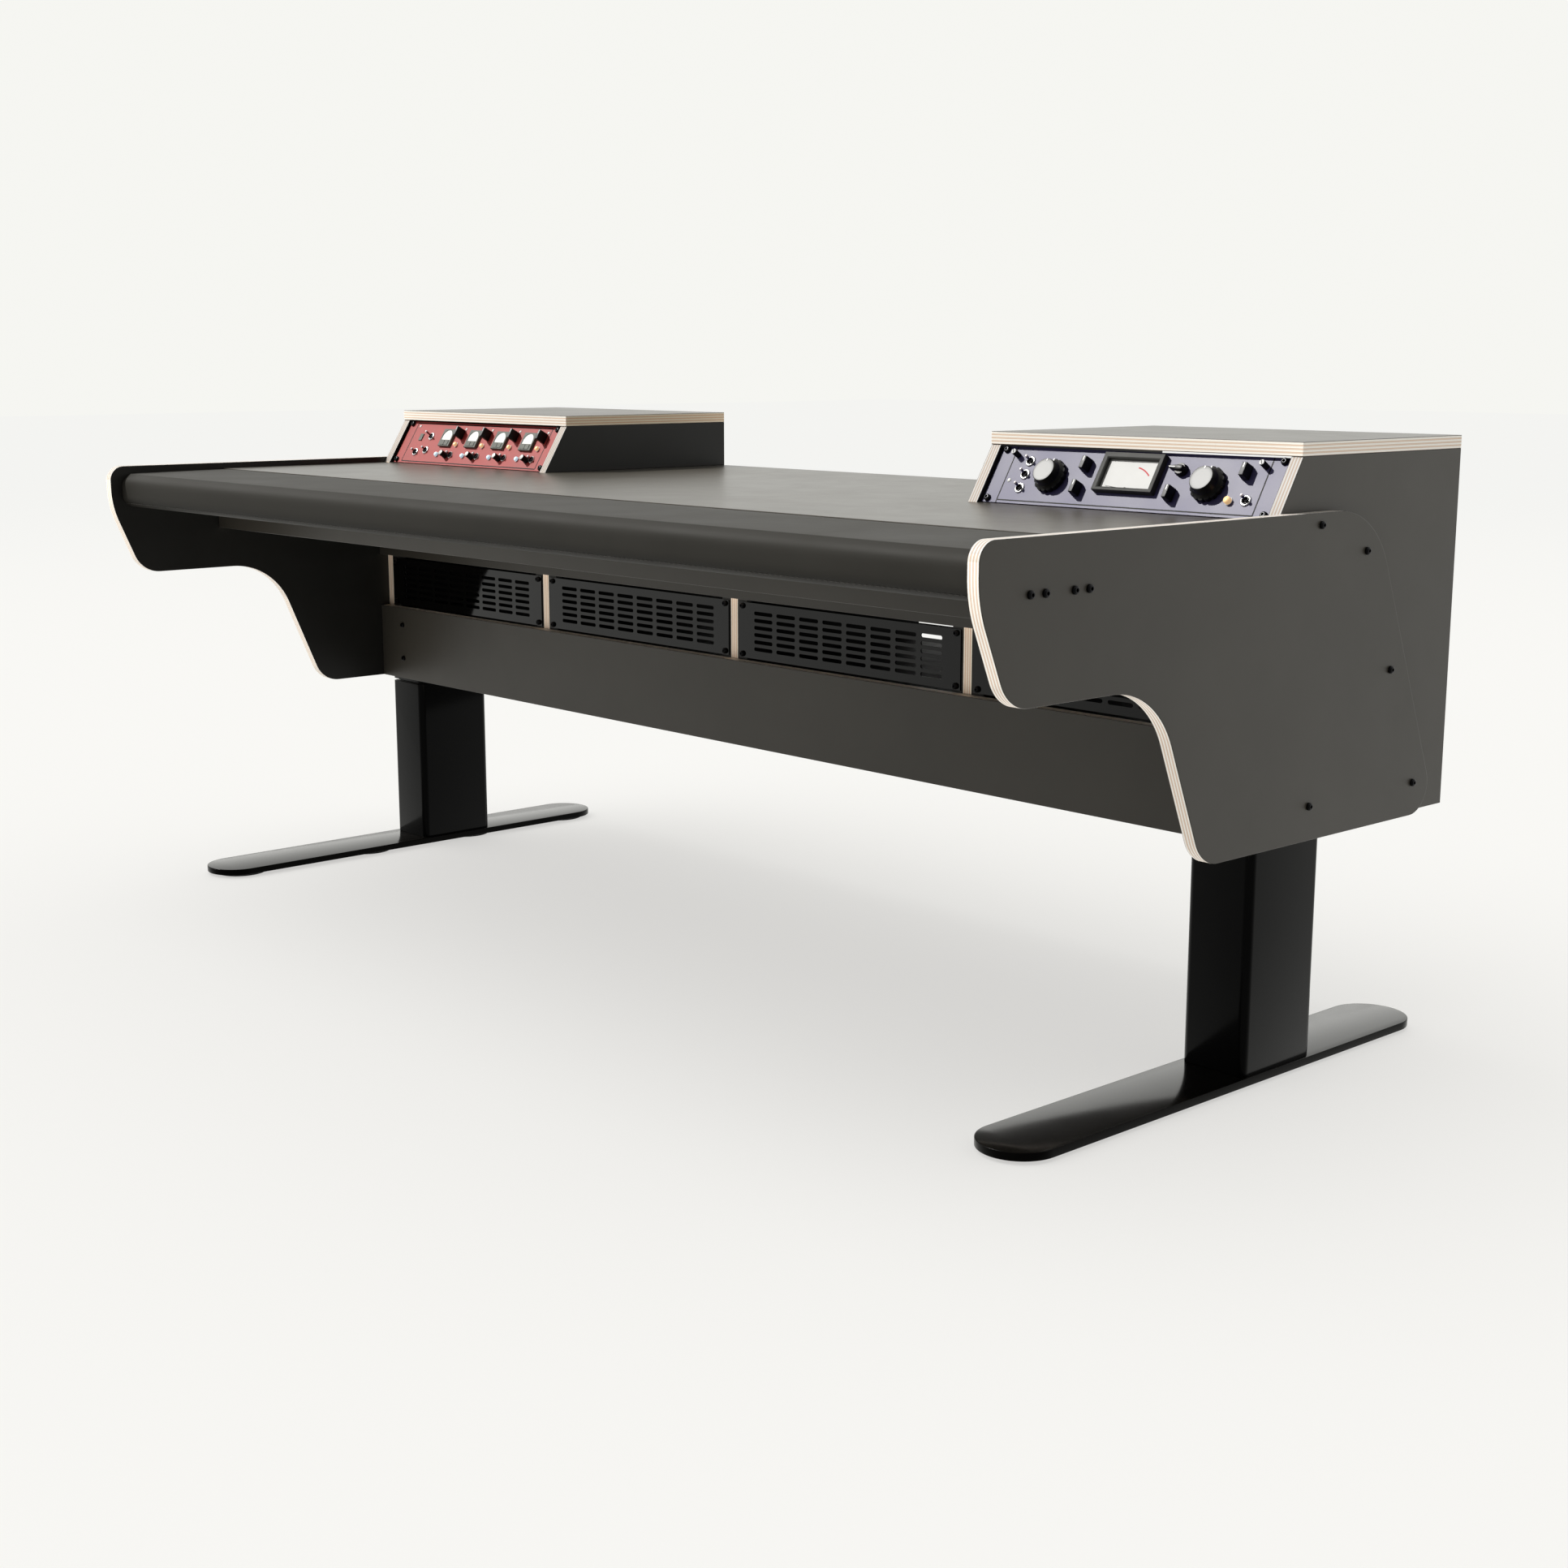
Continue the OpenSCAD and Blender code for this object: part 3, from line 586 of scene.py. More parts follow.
# the left end wall's inner face takes the near-black bay laminate, painted shade; the front edges take the bay ply
for p in _ends.data.polygons:
    if p.material_index == 0 and p.normal.x > 0.75 and p.center.x < 0:
        p.material_index = len(_ends.data.materials) - 1
    elif p.material_index == 1 and p.normal.y < -0.95:
        p.material_index = len(_ends.data.materials) - 2
POD = [(slope_y(TOP_Z), TOP_Z), (DEPTH, TOP_Z), (DEPTH, LID_Z), (slope_y(LID_Z), LID_Z)]
paint_shade_right_faces(boards("pod_inner_walls", "pod_walls", 0, [(POD, POD_IN - BOARD, POD_IN), (POD, -POD_IN, -POD_IN + BOARD)]))
LID_F = WALL_Y + (LID_Z - TOP_Z - 0.5) * math.tan(LEAN) - 1.5
# the lids' horizontal faces take the lighter laminate copy: painted light
_lids = boards("pod_tops", "pod_lids", 2, [(rect(POD_IN - BOARD, LID_F, WALL_X, DEPTH), LID_Z, LID_Z + BOARD),
                                          (rect(-WALL_X, LID_F, -POD_IN + BOARD, DEPTH), LID_Z, LID_Z + BOARD)], face=TOPLAM_PAINTED_LIGHT)
# the left lid's right-facing edge takes the brighter, warmer ply: painted light where little lamp light reaches
_lids.data.materials.append(PLY_WARM_PAINTED_LIGHT)
for p in _lids.data.polygons:
    if p.material_index == 1 and p.normal.x > 0.75 and p.center.x < 0:
        p.material_index = len(_lids.data.materials) - 1
boards("rail_front", "front_rail", 1, [(rect(-WALL_X, 302, WALL_X, UNDER_Z), 203, 221)])
boards("apron_rear", "rear_apron", 1, [(rect(-WALL_X, 233.6, WALL_X, UNDER_Z), APRON_Y, WALL_Y)])
boards("modesty_board", "modesty_panel", 1, [(rect(-WALL_X, 0, WALL_X, FLOOR_TOP + 0.1), APRON_Y, WALL_Y)])
# the base board takes the darker laminate copy: painted shade under the carcass
boards("board_base", "base_board", 2, [(rect(-IN_X, WALL_Y, IN_X, DEPTH), 0, BOARD)], face=LAM_PAINTED_SHADE)
# bay floor, roof and uprights take the near-black bay laminate: painted shade in the recesses
boards("board_bay_floor", "bay_floor", 2, [(rect(-IN_X, WALL_Y, IN_X, DEPTH), FLOOR_TOP - BOARD, FLOOR_TOP)], face=LAM_BAY_PAINTED_SHADE)
boards("board_bay_roof", "bay_roof", 2, [(rect(-IN_X, WALL_Y, IN_X, DEPTH), ROOF_Z, ROOF_Z + BOARD)], face=LAM_BAY_PAINTED_SHADE)
div = []
for i in (-1, 0, 1):
    x = i * 508.0
    for z0, z1 in ((BOARD, FLOOR_TOP - BOARD), (FLOOR_TOP, ROOF_Z), (ROOF_Z + BOARD, UNDER_Z)):
        div.append((rect(WALL_Y, z0, DEPTH, z1), x - 9, x + 9))
_ups = boards("bay_uprights", "bay_dividers", 0, div, face=LAM_BAY_PAINTED_SHADE)
_ups.data.materials.append(PLY_BAY)
for p in _ups.data.polygons:
    if p.material_index == 1 and p.normal.y < -0.75:
        p.material_index = len(_ups.data.materials) - 1
boards("armrest_core", "armrest_board", 2, [(rect(-WALL_X, 45, WALL_X, 203), 346.6, 364.6)])


def from_node(name, node, mats, bevel, angle=28.0, segments=2, pick=None, smooth=32.0):
    """A copy of a CAD node with its flat faces merged and its edges rounded."""
    bm = bmesh.new()
    bm.from_mesh(frame["nodes"][node].data)
    bmesh.ops.remove_doubles(bm, verts=bm.verts, dist=1e-6)
    bmesh.ops.dissolve_limit(bm, angle_limit=math.radians(0.5), verts=bm.verts, edges=bm.edges)
    bmesh.ops.recalc_face_normals(bm, faces=bm.faces)
    if bevel:
        bevel_sharp(bm, bevel, segments, angle)
    if pick:
        pick(bm)
    else:
        for f in bm.faces:
            f.material_index = 0
    return link_object(name, bm, mats, NODE_BODY[node], node, smooth)


def pick_top(bm):
    layer = bm.verts.layers.float.new("ply")
    z0 = P(0, 0, UNDER_Z).z
    for v in bm.verts:
        v[layer] = (v.co.z - z0) / 0.018
    for f in bm.faces:
        f.normal_update()
        front = f.normal.y < -0.2 and f.calc_center_median().y < P(0, 240, 0).y
        f.material_index = 0 if abs(f.normal.z) > 0.75 or front else 1


# the worktop's horizontal and front faces take the lighter laminate copy: painted light
from_node("worktop", "desktop", [TOPLAM_PAINTED_LIGHT, PLY[2]], 0.0007, pick=pick_top, smooth=14)

# ------------------------------------------------------------------ legs
bm = bmesh.new()
for sg in (1, -1):
    part = new_board_mesh()
    o = [(sg * LEG_C + a, b) for a, b in stadium(109, 120, DEPTH)]
    prism(part, o, 2, -320.2, -309.2, 0.0011, 3)
    merge(bm, part, Matrix.Identity(4))
for f in bm.faces:
    f.normal_update()
    f.material_index = 0 if f.normal.z > 0.9 else 1
link_object("feet_plates", bm, [FOOT, FOOT_EDGE], "feet", "foot_plates", 40)
bm = bmesh.new()
for sg in (1, -1):
    for y in (181, 448, 675, DEPTH - 61):
        M = Matrix.Translation(P(sg * LEG_C, y, -325)) @ Matrix.Scale(0.001, 4)
        revolve(bm, [(0, 0), (44.6, 0), (46, 1.2), (46, 4.8), (0, 4.8)], M, 56)
link_object("glide_discs", bm, [RUBBER], "feet", "foot_glides")


def column(name, node, w, d, z0, z1, top=False):
    bm = bmesh.new()
    for sg in (1, -1):
        tube(bm, rounded_rect(w, d, 11), rounded_rect(w - 6, d - 6, 8.5), z0, z1, (sg * LEG_C, COL_Y))
        if top:
            part = new_board_mesh()
            prism(part, [(sg * LEG_C + a, COL_Y + b) for a, b in rounded_rect(100, 150, 11)], 2, -6, 0, 0.0006)
            merge(bm, part, Matrix.Identity(4))
    for f in bm.faces:
        f.material_index = 0
    link_object(name, bm, [LEG], NODE_BODY[node], node, 40)


column("tube_outer", "columns_outer", 100, 150, -309.2, -10)
column("tube_middle", "columns_middle", 92, 142, -304.2, -9)
column("tube_inner", "columns_inner", 84, 134, -300.2, -5.9, True)

# ------------------------------------------------------------------ plain carried-over nodes
VENT = Mat("enamel_black_gloss", (0.0011, 0.0010, 0.0009), 0.05, spec=0.52)
_v = VENT.obj()
_n = VENT.noise(_v, 6, 3, 0.6)
VENT.color(VENT.mix(VENT.grey(_n, 0, 1, 0.3, 0.7), (0.0010, 0.0009, 0.0008), (0.0013, 0.0012, 0.0010)))
VENT.rough(VENT.grey(_n, 0.035, 0.06, 0.3, 0.7))
VENT = VENT.m
for n, m in (("rack_rails", BLACK), ("leg_brackets", BLACK), ("unit_chassis", BLACK), ("lift_drives", DRIVE), ("vent_panels", VENT)):
    me = frame["nodes"][n].data
    me.materials.clear()
    me.materials.append(m)

# ------------------------------------------------------------------ screws
def hexr(a, r):
    k = (a + math.pi / 6) % (math.pi / 3) - math.pi / 6
    return r * math.cos(math.pi / 6) / math.cos(k)


def button_screw(bm, M, r=5.0, h=2.6, seg=36):
    def warp(rr, hh, a):
        return hexr(a, rr) if rr < 0.52 * r else rr
    prof = [(2.6, -4), (2.6, 0.05), (r - 0.1, 0.05), (r - 0.05, h * 0.35), (r * 0.96, h * 0.52), (r * 0.88, h * 0.76), (r * 0.74, h * 0.93),
            (r * 0.58, h), (r * 0.47, h), (r * 0.45, h - 0.15), (r * 0.45, h - 2.2), (0, h - 2.4)]
    revolve(bm, prof, M, seg, warp=warp)


SIDE_SCREWS = [(81.7, 355.6), (106.6, 355.6), (155.4, 355.6), (180.3, 355.6), (623.4, 403.2), (725.8, 365.1), (794.2, 205.1), (861.8, 45.2), (623.3, 45.3)]
bm = bmesh.new()
MM = Matrix.Scale(0.001, 4)
turn = 0.0
for sg in (1, -1):
    for y, z in SIDE_SCREWS:
        turn += 0.7
        M = Matrix.Translation(P(sg * OUT_X, y, z)) @ Matrix.Rotation(sg * math.pi / 2, 4, "Y") @ MM @ Matrix.Rotation(turn, 4, "Z")
        button_screw(bm, M, 5.2, 4.5)
    for z in (103, 39):
        turn += 0.7
        M = Matrix.Translation(P(sg * 951, APRON_Y, z)) @ Matrix.Rotation(math.pi / 2, 4, "X") @ MM @ Matrix.Rotation(turn, 4, "Z")
        button_screw(bm, M, 4.8, 4.3)
VENT_Y, VENT_Z = WALL_Y - 1.5, FLOOR_TOP + 95.5 / 2
for x in BAYS:
    for i in (-1, 1):
        for j in (-1, 1):
            turn += 0.7
            M = Matrix.Translation(P(x + i * HOLE_X, VENT_Y, VENT_Z + j * HOLE_Z)) @ Matrix.Rotation(math.pi / 2, 4, "X") @ MM @ Matrix.Rotation(turn, 4, "Z")
            button_screw(bm, M, 4.8, 4.3)
for x in (-POD_C, POD_C):
    for i in (-1, 1):
        for j in (-1, 1):
            turn += 0.7
            button_screw(bm, rack(x, i * HOLE_X, j * HOLE_Z, 0) @ Matrix.Rotation(turn, 4, "Z"), 5.2, 4.5)
link_object("screw_heads", bm, [SCREW], "desk", "screws", 35)

# ------------------------------------------------------------------ sloped units: panels and printed lines
def panel_sheet(name, node, xc, paint, lines):
    bm = bmesh.new()
    bm.from_mesh(frame["nodes"][node].data)
    bmesh.ops.remove_doubles(bm, verts=bm.verts, dist=1e-6)
    bmesh.ops.dissolve_limit(bm, angle_limit=math.radians(0.5), verts=bm.verts, edges=bm.edges)
    bmesh.ops.recalc_face_normals(bm, faces=bm.faces)
    bevel_sharp(bm, 0.0003, 2)
    for f in bm.faces:
        f.material_index = 0
    for (u0, v0, u1, v1) in lines:
        box(bm, (u0, v0, -0.05), (u1, v1, 0.06), rack(xc), 1)
    return link_object(name, bm, [paint, INK], "desk", node, 12)


LW = 1.0
blue_lines = [(-215 - LW, -44, -215 + LW, 44), (215 - LW, -44, 215 + LW, 44), (-215, -39.7 - LW, 215, -39.7 + LW)]
red_lines = [(-216 - LW, -40.5, -216 + LW, 40.5), (216 - LW, -40.5, 216 + LW, 40.5),
             (-216, -40.5 - LW, 216, -40.5 + LW), (-216, 40.5 - LW, 216, 40.5 + LW)]
panel_sheet("panel_blue", "blue_unit_panel", POD_C, BLUE, blue_lines)
panel_sheet("panel_red", "red_unit_panel", -POD_C, RED, red_lines)

# white dots
bm = bmesh.new()
dots = [(POD_C, -207, -8.6, 2.9)] + [(-POD_C, -205.6, 34.2, 2.7)] + [(-POD_C, -94 + 86 * i + 44.4, 32, 2.7) for i in range(4)]
for xc, u, v, r in dots:
    revolve(bm, [(r, 0), (r, 0.5), (r * 0.8, 0.9), (r * 0.4, 1.1), (0, 1.15)], rack(xc, u, v), 20)
link_object("marker_dots", bm, [WHITE], "desk", slot="dial_white")

# ------------------------------------------------------------------ meters
bm = bmesh.new()
cx, cy, ow, oh = 1.0, 9.0, 101.0, 57.5
wx0, wx1, wy0, wy1 = -40.8, 44.0, -14.0, 28.6


def frame_ring(bm, M, outer, inner, z_out, z_in, depth, mat=0):
    """Bezel ring: flat border at z_out, sloping to the window edge at z_in, then down to depth."""
    part = bmesh.new()
    def ring(r, z):
        x0, y0, x1, y1 = r
        return [part.verts.new(p) for p in ((x0, y0, z), (x1, y0, z), (x1, y1, z), (x0, y1, z))]
    x0, y0, x1, y1 = outer
    i0, j0, i1, j1 = inner
    k = 2.2
    rings = [ring(outer, 0), ring((x0 + 0.3, y0 + 0.3, x1 - 0.3, y1 - 0.3), z_out),
             ring((i0 - k, j0 - k, i1 + k, j1 + k), z_out), ring(inner, z_in), ring(inner, depth)]
    for a, b in zip(rings, rings[1:]):
        for q in range(4):
            part.faces.new((a[q], a[(q + 1) % 4], b[(q + 1) % 4], b[q]))
    bmesh.ops.recalc_face_normals(part, faces=part.faces)
    bevel_sharp(part, 0.45, 3, 25)
    for f in part.faces:
        f.material_index = mat
    merge(bm, part, M)


frame_ring(bm, rack(POD_C), (cx - ow / 2, cy - oh / 2, cx + ow / 2, cy + oh / 2), (wx0, wy0, wx1, wy1), 9.0, 7.6, 3.0)


def arch_points(w, y0, y1, n=16):
    """Outline of an arched window, closed at the bottom."""
    r = w / 2
    return [(-r, y0), (r, y0), (r, y1 - r)] + [(r * math.cos(math.pi * k / n), y1 - r + r * math.sin(math.pi * k / n)) for k in range(1, n)] + [(-r, y1 - r)]


for i in range(4):
    M = rack(-POD_C, -94 + 86 * i, 11)
    part = bmesh.new()
    arch = arch_points(29.6, -5.2, 15.6)
    n = len(arch)
    def square_at(p, hw=17.6, h0=-17.35, h1=17.35):
        x, y = p[0], p[1] - 5.0
        k = min(hw / max(1e-6, abs(x)), (h1 - 5.0) / y if y > 1e-6 else 1e9, (h0 - 5.0) / y if y < -1e-6 else 1e9)
        return (x * k, y * k + 5.0)
    dense = []
    for a, b in zip(arch, arch[1:] + arch[:1]):
        for s in (0, 0.5):
            dense.append((a[0] + (b[0] - a[0]) * s, a[1] + (b[1] - a[1]) * s))
    n = len(dense)
    outer = [square_at(p) for p in dense]
    # snap the four outer corners so that the border is a true rectangle
    for c in ((-17.6, -17.35), (17.6, -17.35), (17.6, 17.35), (-17.6, 17.35)):
        j = min(range(n), key=lambda q: (outer[q][0] - c[0]) ** 2 + (outer[q][1] - c[1]) ** 2)
        outer[j] = c
    r0 = [part.verts.new((x * 18 / 17.6, y * 17.75 / 17.35, 0)) for x, y in outer]
    r1 = [part.verts.new((x * 18 / 17.6, y * 17.75 / 17.35, 4.5)) for x, y in outer]
    r2 = [part.verts.new((x, y, 5.0)) for x, y in outer]
    r3 = [part.verts.new((x, y, 5.0)) for x, y in dense]
    r4 = [part.verts.new((x, y, 3.8)) for x, y in dense]
    for a, b in ((r0, r1), (r1, r2), (r2, r3), (r3, r4)):
        for q in range(n):
            part.faces.new((a[q], a[(q + 1) % n], b[(q + 1) % n], b[q]))
    bmesh.ops.recalc_face_normals(part, faces=part.faces)
    for f in part.faces:
        f.material_index = 1
    merge(bm, part, M)
    for sx in (-1, 1):
        box(bm, (sx * 6.3 - 5.6, -15.6, 4.9), (sx * 6.3 + 5.6, -6.4, 5.8), M, 2, 0.35)
link_object("meter_frames", bm, [BEZEL, BEZEL_GREY, GREY_KEY], "desk", "meter_bezels", 30)

# dials: plain cards, the large one with its red arc
DIAL = plastic("dial_card", (0.50, 0.50, 0.492), 0.5, 0.3, 0.02)
# paler cards for the small meters: painted light against the shade of their recessed windows
DIAL_SMALL_PAINTED_LIGHT = plastic("dial_card_small_painted_light", (0.72, 0.72, 0.71), 0.5, 0.3, 0.02)
DIAL_RED = plastic("dial_red", (0.42, 0.010, 0.02), 0.5, 0.2)
bm = bmesh.new()
box(bm, (cx - 47.7, cy - 26.2, 1.5), (cx + 47.7, cy + 26.2, 3.0), rack(POD_C), 0)
# the small meter cards take the paler card: painted light
for i in range(4):
    box(bm, (-15.7, -15.45, 0.6), (15.7, 16.95, 4.2), rack(-POD_C, -94 + 86 * i, 11), 2)


def arc_strip(bm, M, c, r0, r1, a0, a1, z0, z1, mat, n=24):
    part = bmesh.new()
    rows = []
    for k in range(n + 1):
        a = math.radians(a0 + (a1 - a0) * k / n)
        rows.append([part.verts.new((c[0] + r * math.cos(a), c[1] + r * math.sin(a), z)) for r, z in ((r0, z0), (r0, z1), (r1, z1), (r1, z0))])
    for a, b in zip(rows, rows[1:]):
        for q in range(4):
            part.faces.new((a[q], a[(q + 1) % 4], b[(q + 1) % 4], b[q]))
    part.faces.new(rows[0])
    part.faces.new(rows[-1][::-1])
    bmesh.ops.recalc_face_normals(part, faces=part.faces)
    for f in part.faces:
        f.material_index = mat
    merge(bm, part, M)


piv = (3.0, -24.0)
arc_strip(bm, rack(POD_C), piv, 42.4, 44.4, 46, 79, 2.95, 3.06, 1)
link_object("meter_cards", bm, [DIAL, DIAL_RED, DIAL_SMALL_PAINTED_LIGHT], "desk", "meter_dials", 30)

# ------------------------------------------------------------------ lamps, nuts, posts
bm = bmesh.new()


def jewel(bm, M, r, h, mat):
    revolve(bm, [(0, 0), (r + 0.9, 0), (r + 0.9, 0.8), (r + 0.3, 1.2), (r, 1.2)], M, 28, mats=[2, 2, 2, 2])
    prof = [(r, 1.0), (r, h - 0.62 * r)] + [(r * math.cos(math.radians(a)), h - 0.62 * r + 0.62 * r * math.sin(math.radians(a))) for a in (15, 30, 45, 60, 75)] + [(0, h)]
    revolve(bm, prof, M, 28, mats=[mat] * (len(prof) - 1))


jewel(bm, rack(POD_C, 171.5, -21.3), 5.0, 8, 0)
for i in range(4):
    jewel(bm, rack(-POD_C, -94 + 86 * i + 34.5, -1.2), 4.1, 6.4, 0)
    jewel(bm, rack(-POD_C, -94 + 86 * i - 13.6, -23.7), 4.1, 5.6, 1)
link_object("lamp_jewels", bm, [AMBER, SKY, CHROME], "desk", "lamps", 35)

BLUE_TOG = [(-182, 21.8), (-182, 1.2), (-182, -20), (197, -19.2)]
RED_TOG = [(-94 + 86 * i + 31, -22.7) for i in range(4)]
RED_LEFT = [(-152.5, 13.4), (-182.5, -20.8), (-151, -15.9)]
bm = bmesh.new()


def dress_nut(bm, M, r=8.0):
    # knurled ring and inner collar
    revolve(bm, [(4.2, 0.0), (r, 0.0), (r, 1.0), (r - 0.6, 1.6), (6.3, 2.0), (5.7, 1.9), (5.6, 2.7), (5.2, 3.0), (4.5, 3.0), (4.2, 2.6), (4.2, 0.0)],
            M, 72, mats=[0, 0, 0, 0, 0, 1, 1, 1, 1, 1], warp=lambda q, h, a: q - (0.22 if q > r - 0.5 and int(a / (2 * math.pi) * 36 + 0.25) % 2 else 0.0))


for u, v in BLUE_TOG:
    dress_nut(bm, rack(POD_C, u, v))
for u, v in RED_TOG:
    dress_nut(bm, rack(-POD_C, u, v), 7.0)
for u, v in RED_LEFT:
    dress_nut(bm, rack(-POD_C, u, v))
link_object("switch_dress_nuts", bm, [NUT, KNOB], "desk", "switch_nuts", 35)

bm = bmesh.new()
for u in (-208, 208):
    M = rack(POD_C, u, 29.8)
    revolve(bm, [(4, 0), (4, 12.2), (3.7, 12.8)], M, 32, mats=[0, 0])
    part = bmesh.new()
    for sx in (-1, 1):
        pts = [(3.7 * math.cos(math.radians(a)), 3.7 * math.sin(math.radians(a))) for a in range(-81, 82, 9)]
        o = [(sx * max(x, 0.6), y) for x, y in pts]
        lo = [part.verts.new((x, y, 11.6)) for x, y in o]
        hi = [part.verts.new((x, y, 13.4)) for x, y in o]
        part.faces.new(hi)
        for q in range(len(o)):
            part.faces.new((lo[q], lo[(q + 1) % len(o)], hi[(q + 1) % len(o)], hi[q]))
    bmesh.ops.recalc_face_normals(part, faces=part.faces)
    for f in part.faces:
        f.material_index = 1
    merge(bm, part, M @ Matrix.Rotation(math.radians(28), 4, "Z"))
    revolve(bm, [(3.7, 12.6), (0, 12.6)], M, 32, mats=[0])
link_object("calibration_posts", bm, [KNOB, POST_END], "desk", "trim_posts", 35)


# ------------------------------------------------------------------ knobs
def slab_knob(name, node, M, w0, w1, l, h):
    bm = bmesh.new()
    part = bmesh.new()
    lo = [(-w0 / 2, -l / 2), (w0 / 2, -l / 2), (w0 / 2, l / 2), (-w0 / 2, l / 2)]
    hi = [(-w1 / 2, -l / 2 + 0.4), (w1 / 2, -l / 2 + 0.4), (w1 / 2, l / 2 - 0.4), (-w1 / 2, l / 2 - 0.4)]
    a = [part.verts.new((x, y, 0.6)) for x, y in lo]
    a2 = [part.verts.new((x, y, 1.8)) for x, y in lo]
    b = [part.verts.new((x, y, h - 0.1)) for x, y in hi]
    for p, q in ((a, a2), (a2, b)):
        for k in range(4):
            part.faces.new((p[k], p[(k + 1) % 4], q[(k + 1) % 4], q[k]))
    part.faces.new(a[::-1])
    top = part.faces.new(b)
    bmesh.ops.recalc_face_normals(part, faces=part.faces)
    bevel_sharp(part, 0.45, 3, 20)
    for f in part.faces:
        f.normal_update()
        c = f.calc_center_median()
        f.material_index = 1 if f.normal.z > 0.995 and c.z > h - 1 else 0
    merge(bm, part, M)
    box(bm, (-0.55, l * 0.08, h - 0.2), (0.55, l / 2 - 0.9, h - 0.02), M, 2)
    revolve(bm, [(3.0, 0.7), (3.0, -8.0), (0, -8.0)], M, 24, mats=[3, 3])
    return link_object(name, bm, [KNOB, KNOB_TOP, WHITE, CHROME], NODE_BODY[node], node, 35)


BARS = [(-77, 18), (-78, -18.5), (79, -18.3), (184.5, 19)]
for i, (u, v) in enumerate(BARS):
    slab_knob("bar_knob_blue_%d" % (i + 1), "blue_bar_knob_%d" % (i + 1), rack(POD_C, u, v), 10.5, 6.5, 19, 15)
for i in range(4):
    slab_knob("slab_knob_red_%d" % (i + 1), "red_slab_knob_%d" % (i + 1), rack(-POD_C, -94 + 86 * i + 42.2, 19.2), 7, 5, 19, 19)

# pointer knob: round skirt with a tapered grip that points to the left
bm = bmesh.new()
M = rack(POD_C, 81.5, 18.5)
revolve(bm, [(0, 0.6), (9, 0.6), (9, 2.0), (8.6, 2.6), (8.1, 7.2), (7.6, 7.9), (0, 8.0)], M, 48)
part = bmesh.new()
low = [(-14.2, 2.2), (-14.2, -2.2), (-3, -5.0), (4, -5.4), (7.6, -3.4), (7.6, 3.4), (4, 5.4), (-3, 5.0)]
mid = [(-14.6, 1.7), (-14.6, -1.7), (-3, -4.4), (4, -4.6), (7.0, -3.0), (7.0, 3.0), (4, 4.6), (-3, 4.4)]
high = [(-15.3, 1.3), (-15.3, -1.3), (-3, -3.0), (4, -3.2), (6.2, -2.2), (6.2, 2.2), (4, 3.2), (-3, 3.0)]
rows = [[part.verts.new((x, y, z)) for x, y in o] for o, z in ((low, 3.6), (mid, 7.5), (high, 12.0))]
for a, b in zip(rows, rows[1:]):
    for k in range(8):
        part.faces.new((a[k], a[(k + 1) % 8], b[(k + 1) % 8], b[k]))
part.faces.new(rows[0][::-1])
part.faces.new(rows[-1])
bmesh.ops.recalc_face_normals(part, faces=part.faces)
bevel_sharp(part, 0.4, 2, 20)
for f in part.faces:
    f.material_index = 0
merge(bm, part, M)
box(bm, (-14.6, -0.5, 11.85), (-5.0, 0.5, 12.06), M, 1)
revolve(bm, [(3.0, 0.7), (3.0, -8.0), (0, -8.0)], M, 24, mats=[2, 2])
link_object("pointer_knob", bm, [KNOB, WHITE, CHROME], NODE_BODY["blue_pointer_knob"], "blue_pointer_knob", 35)

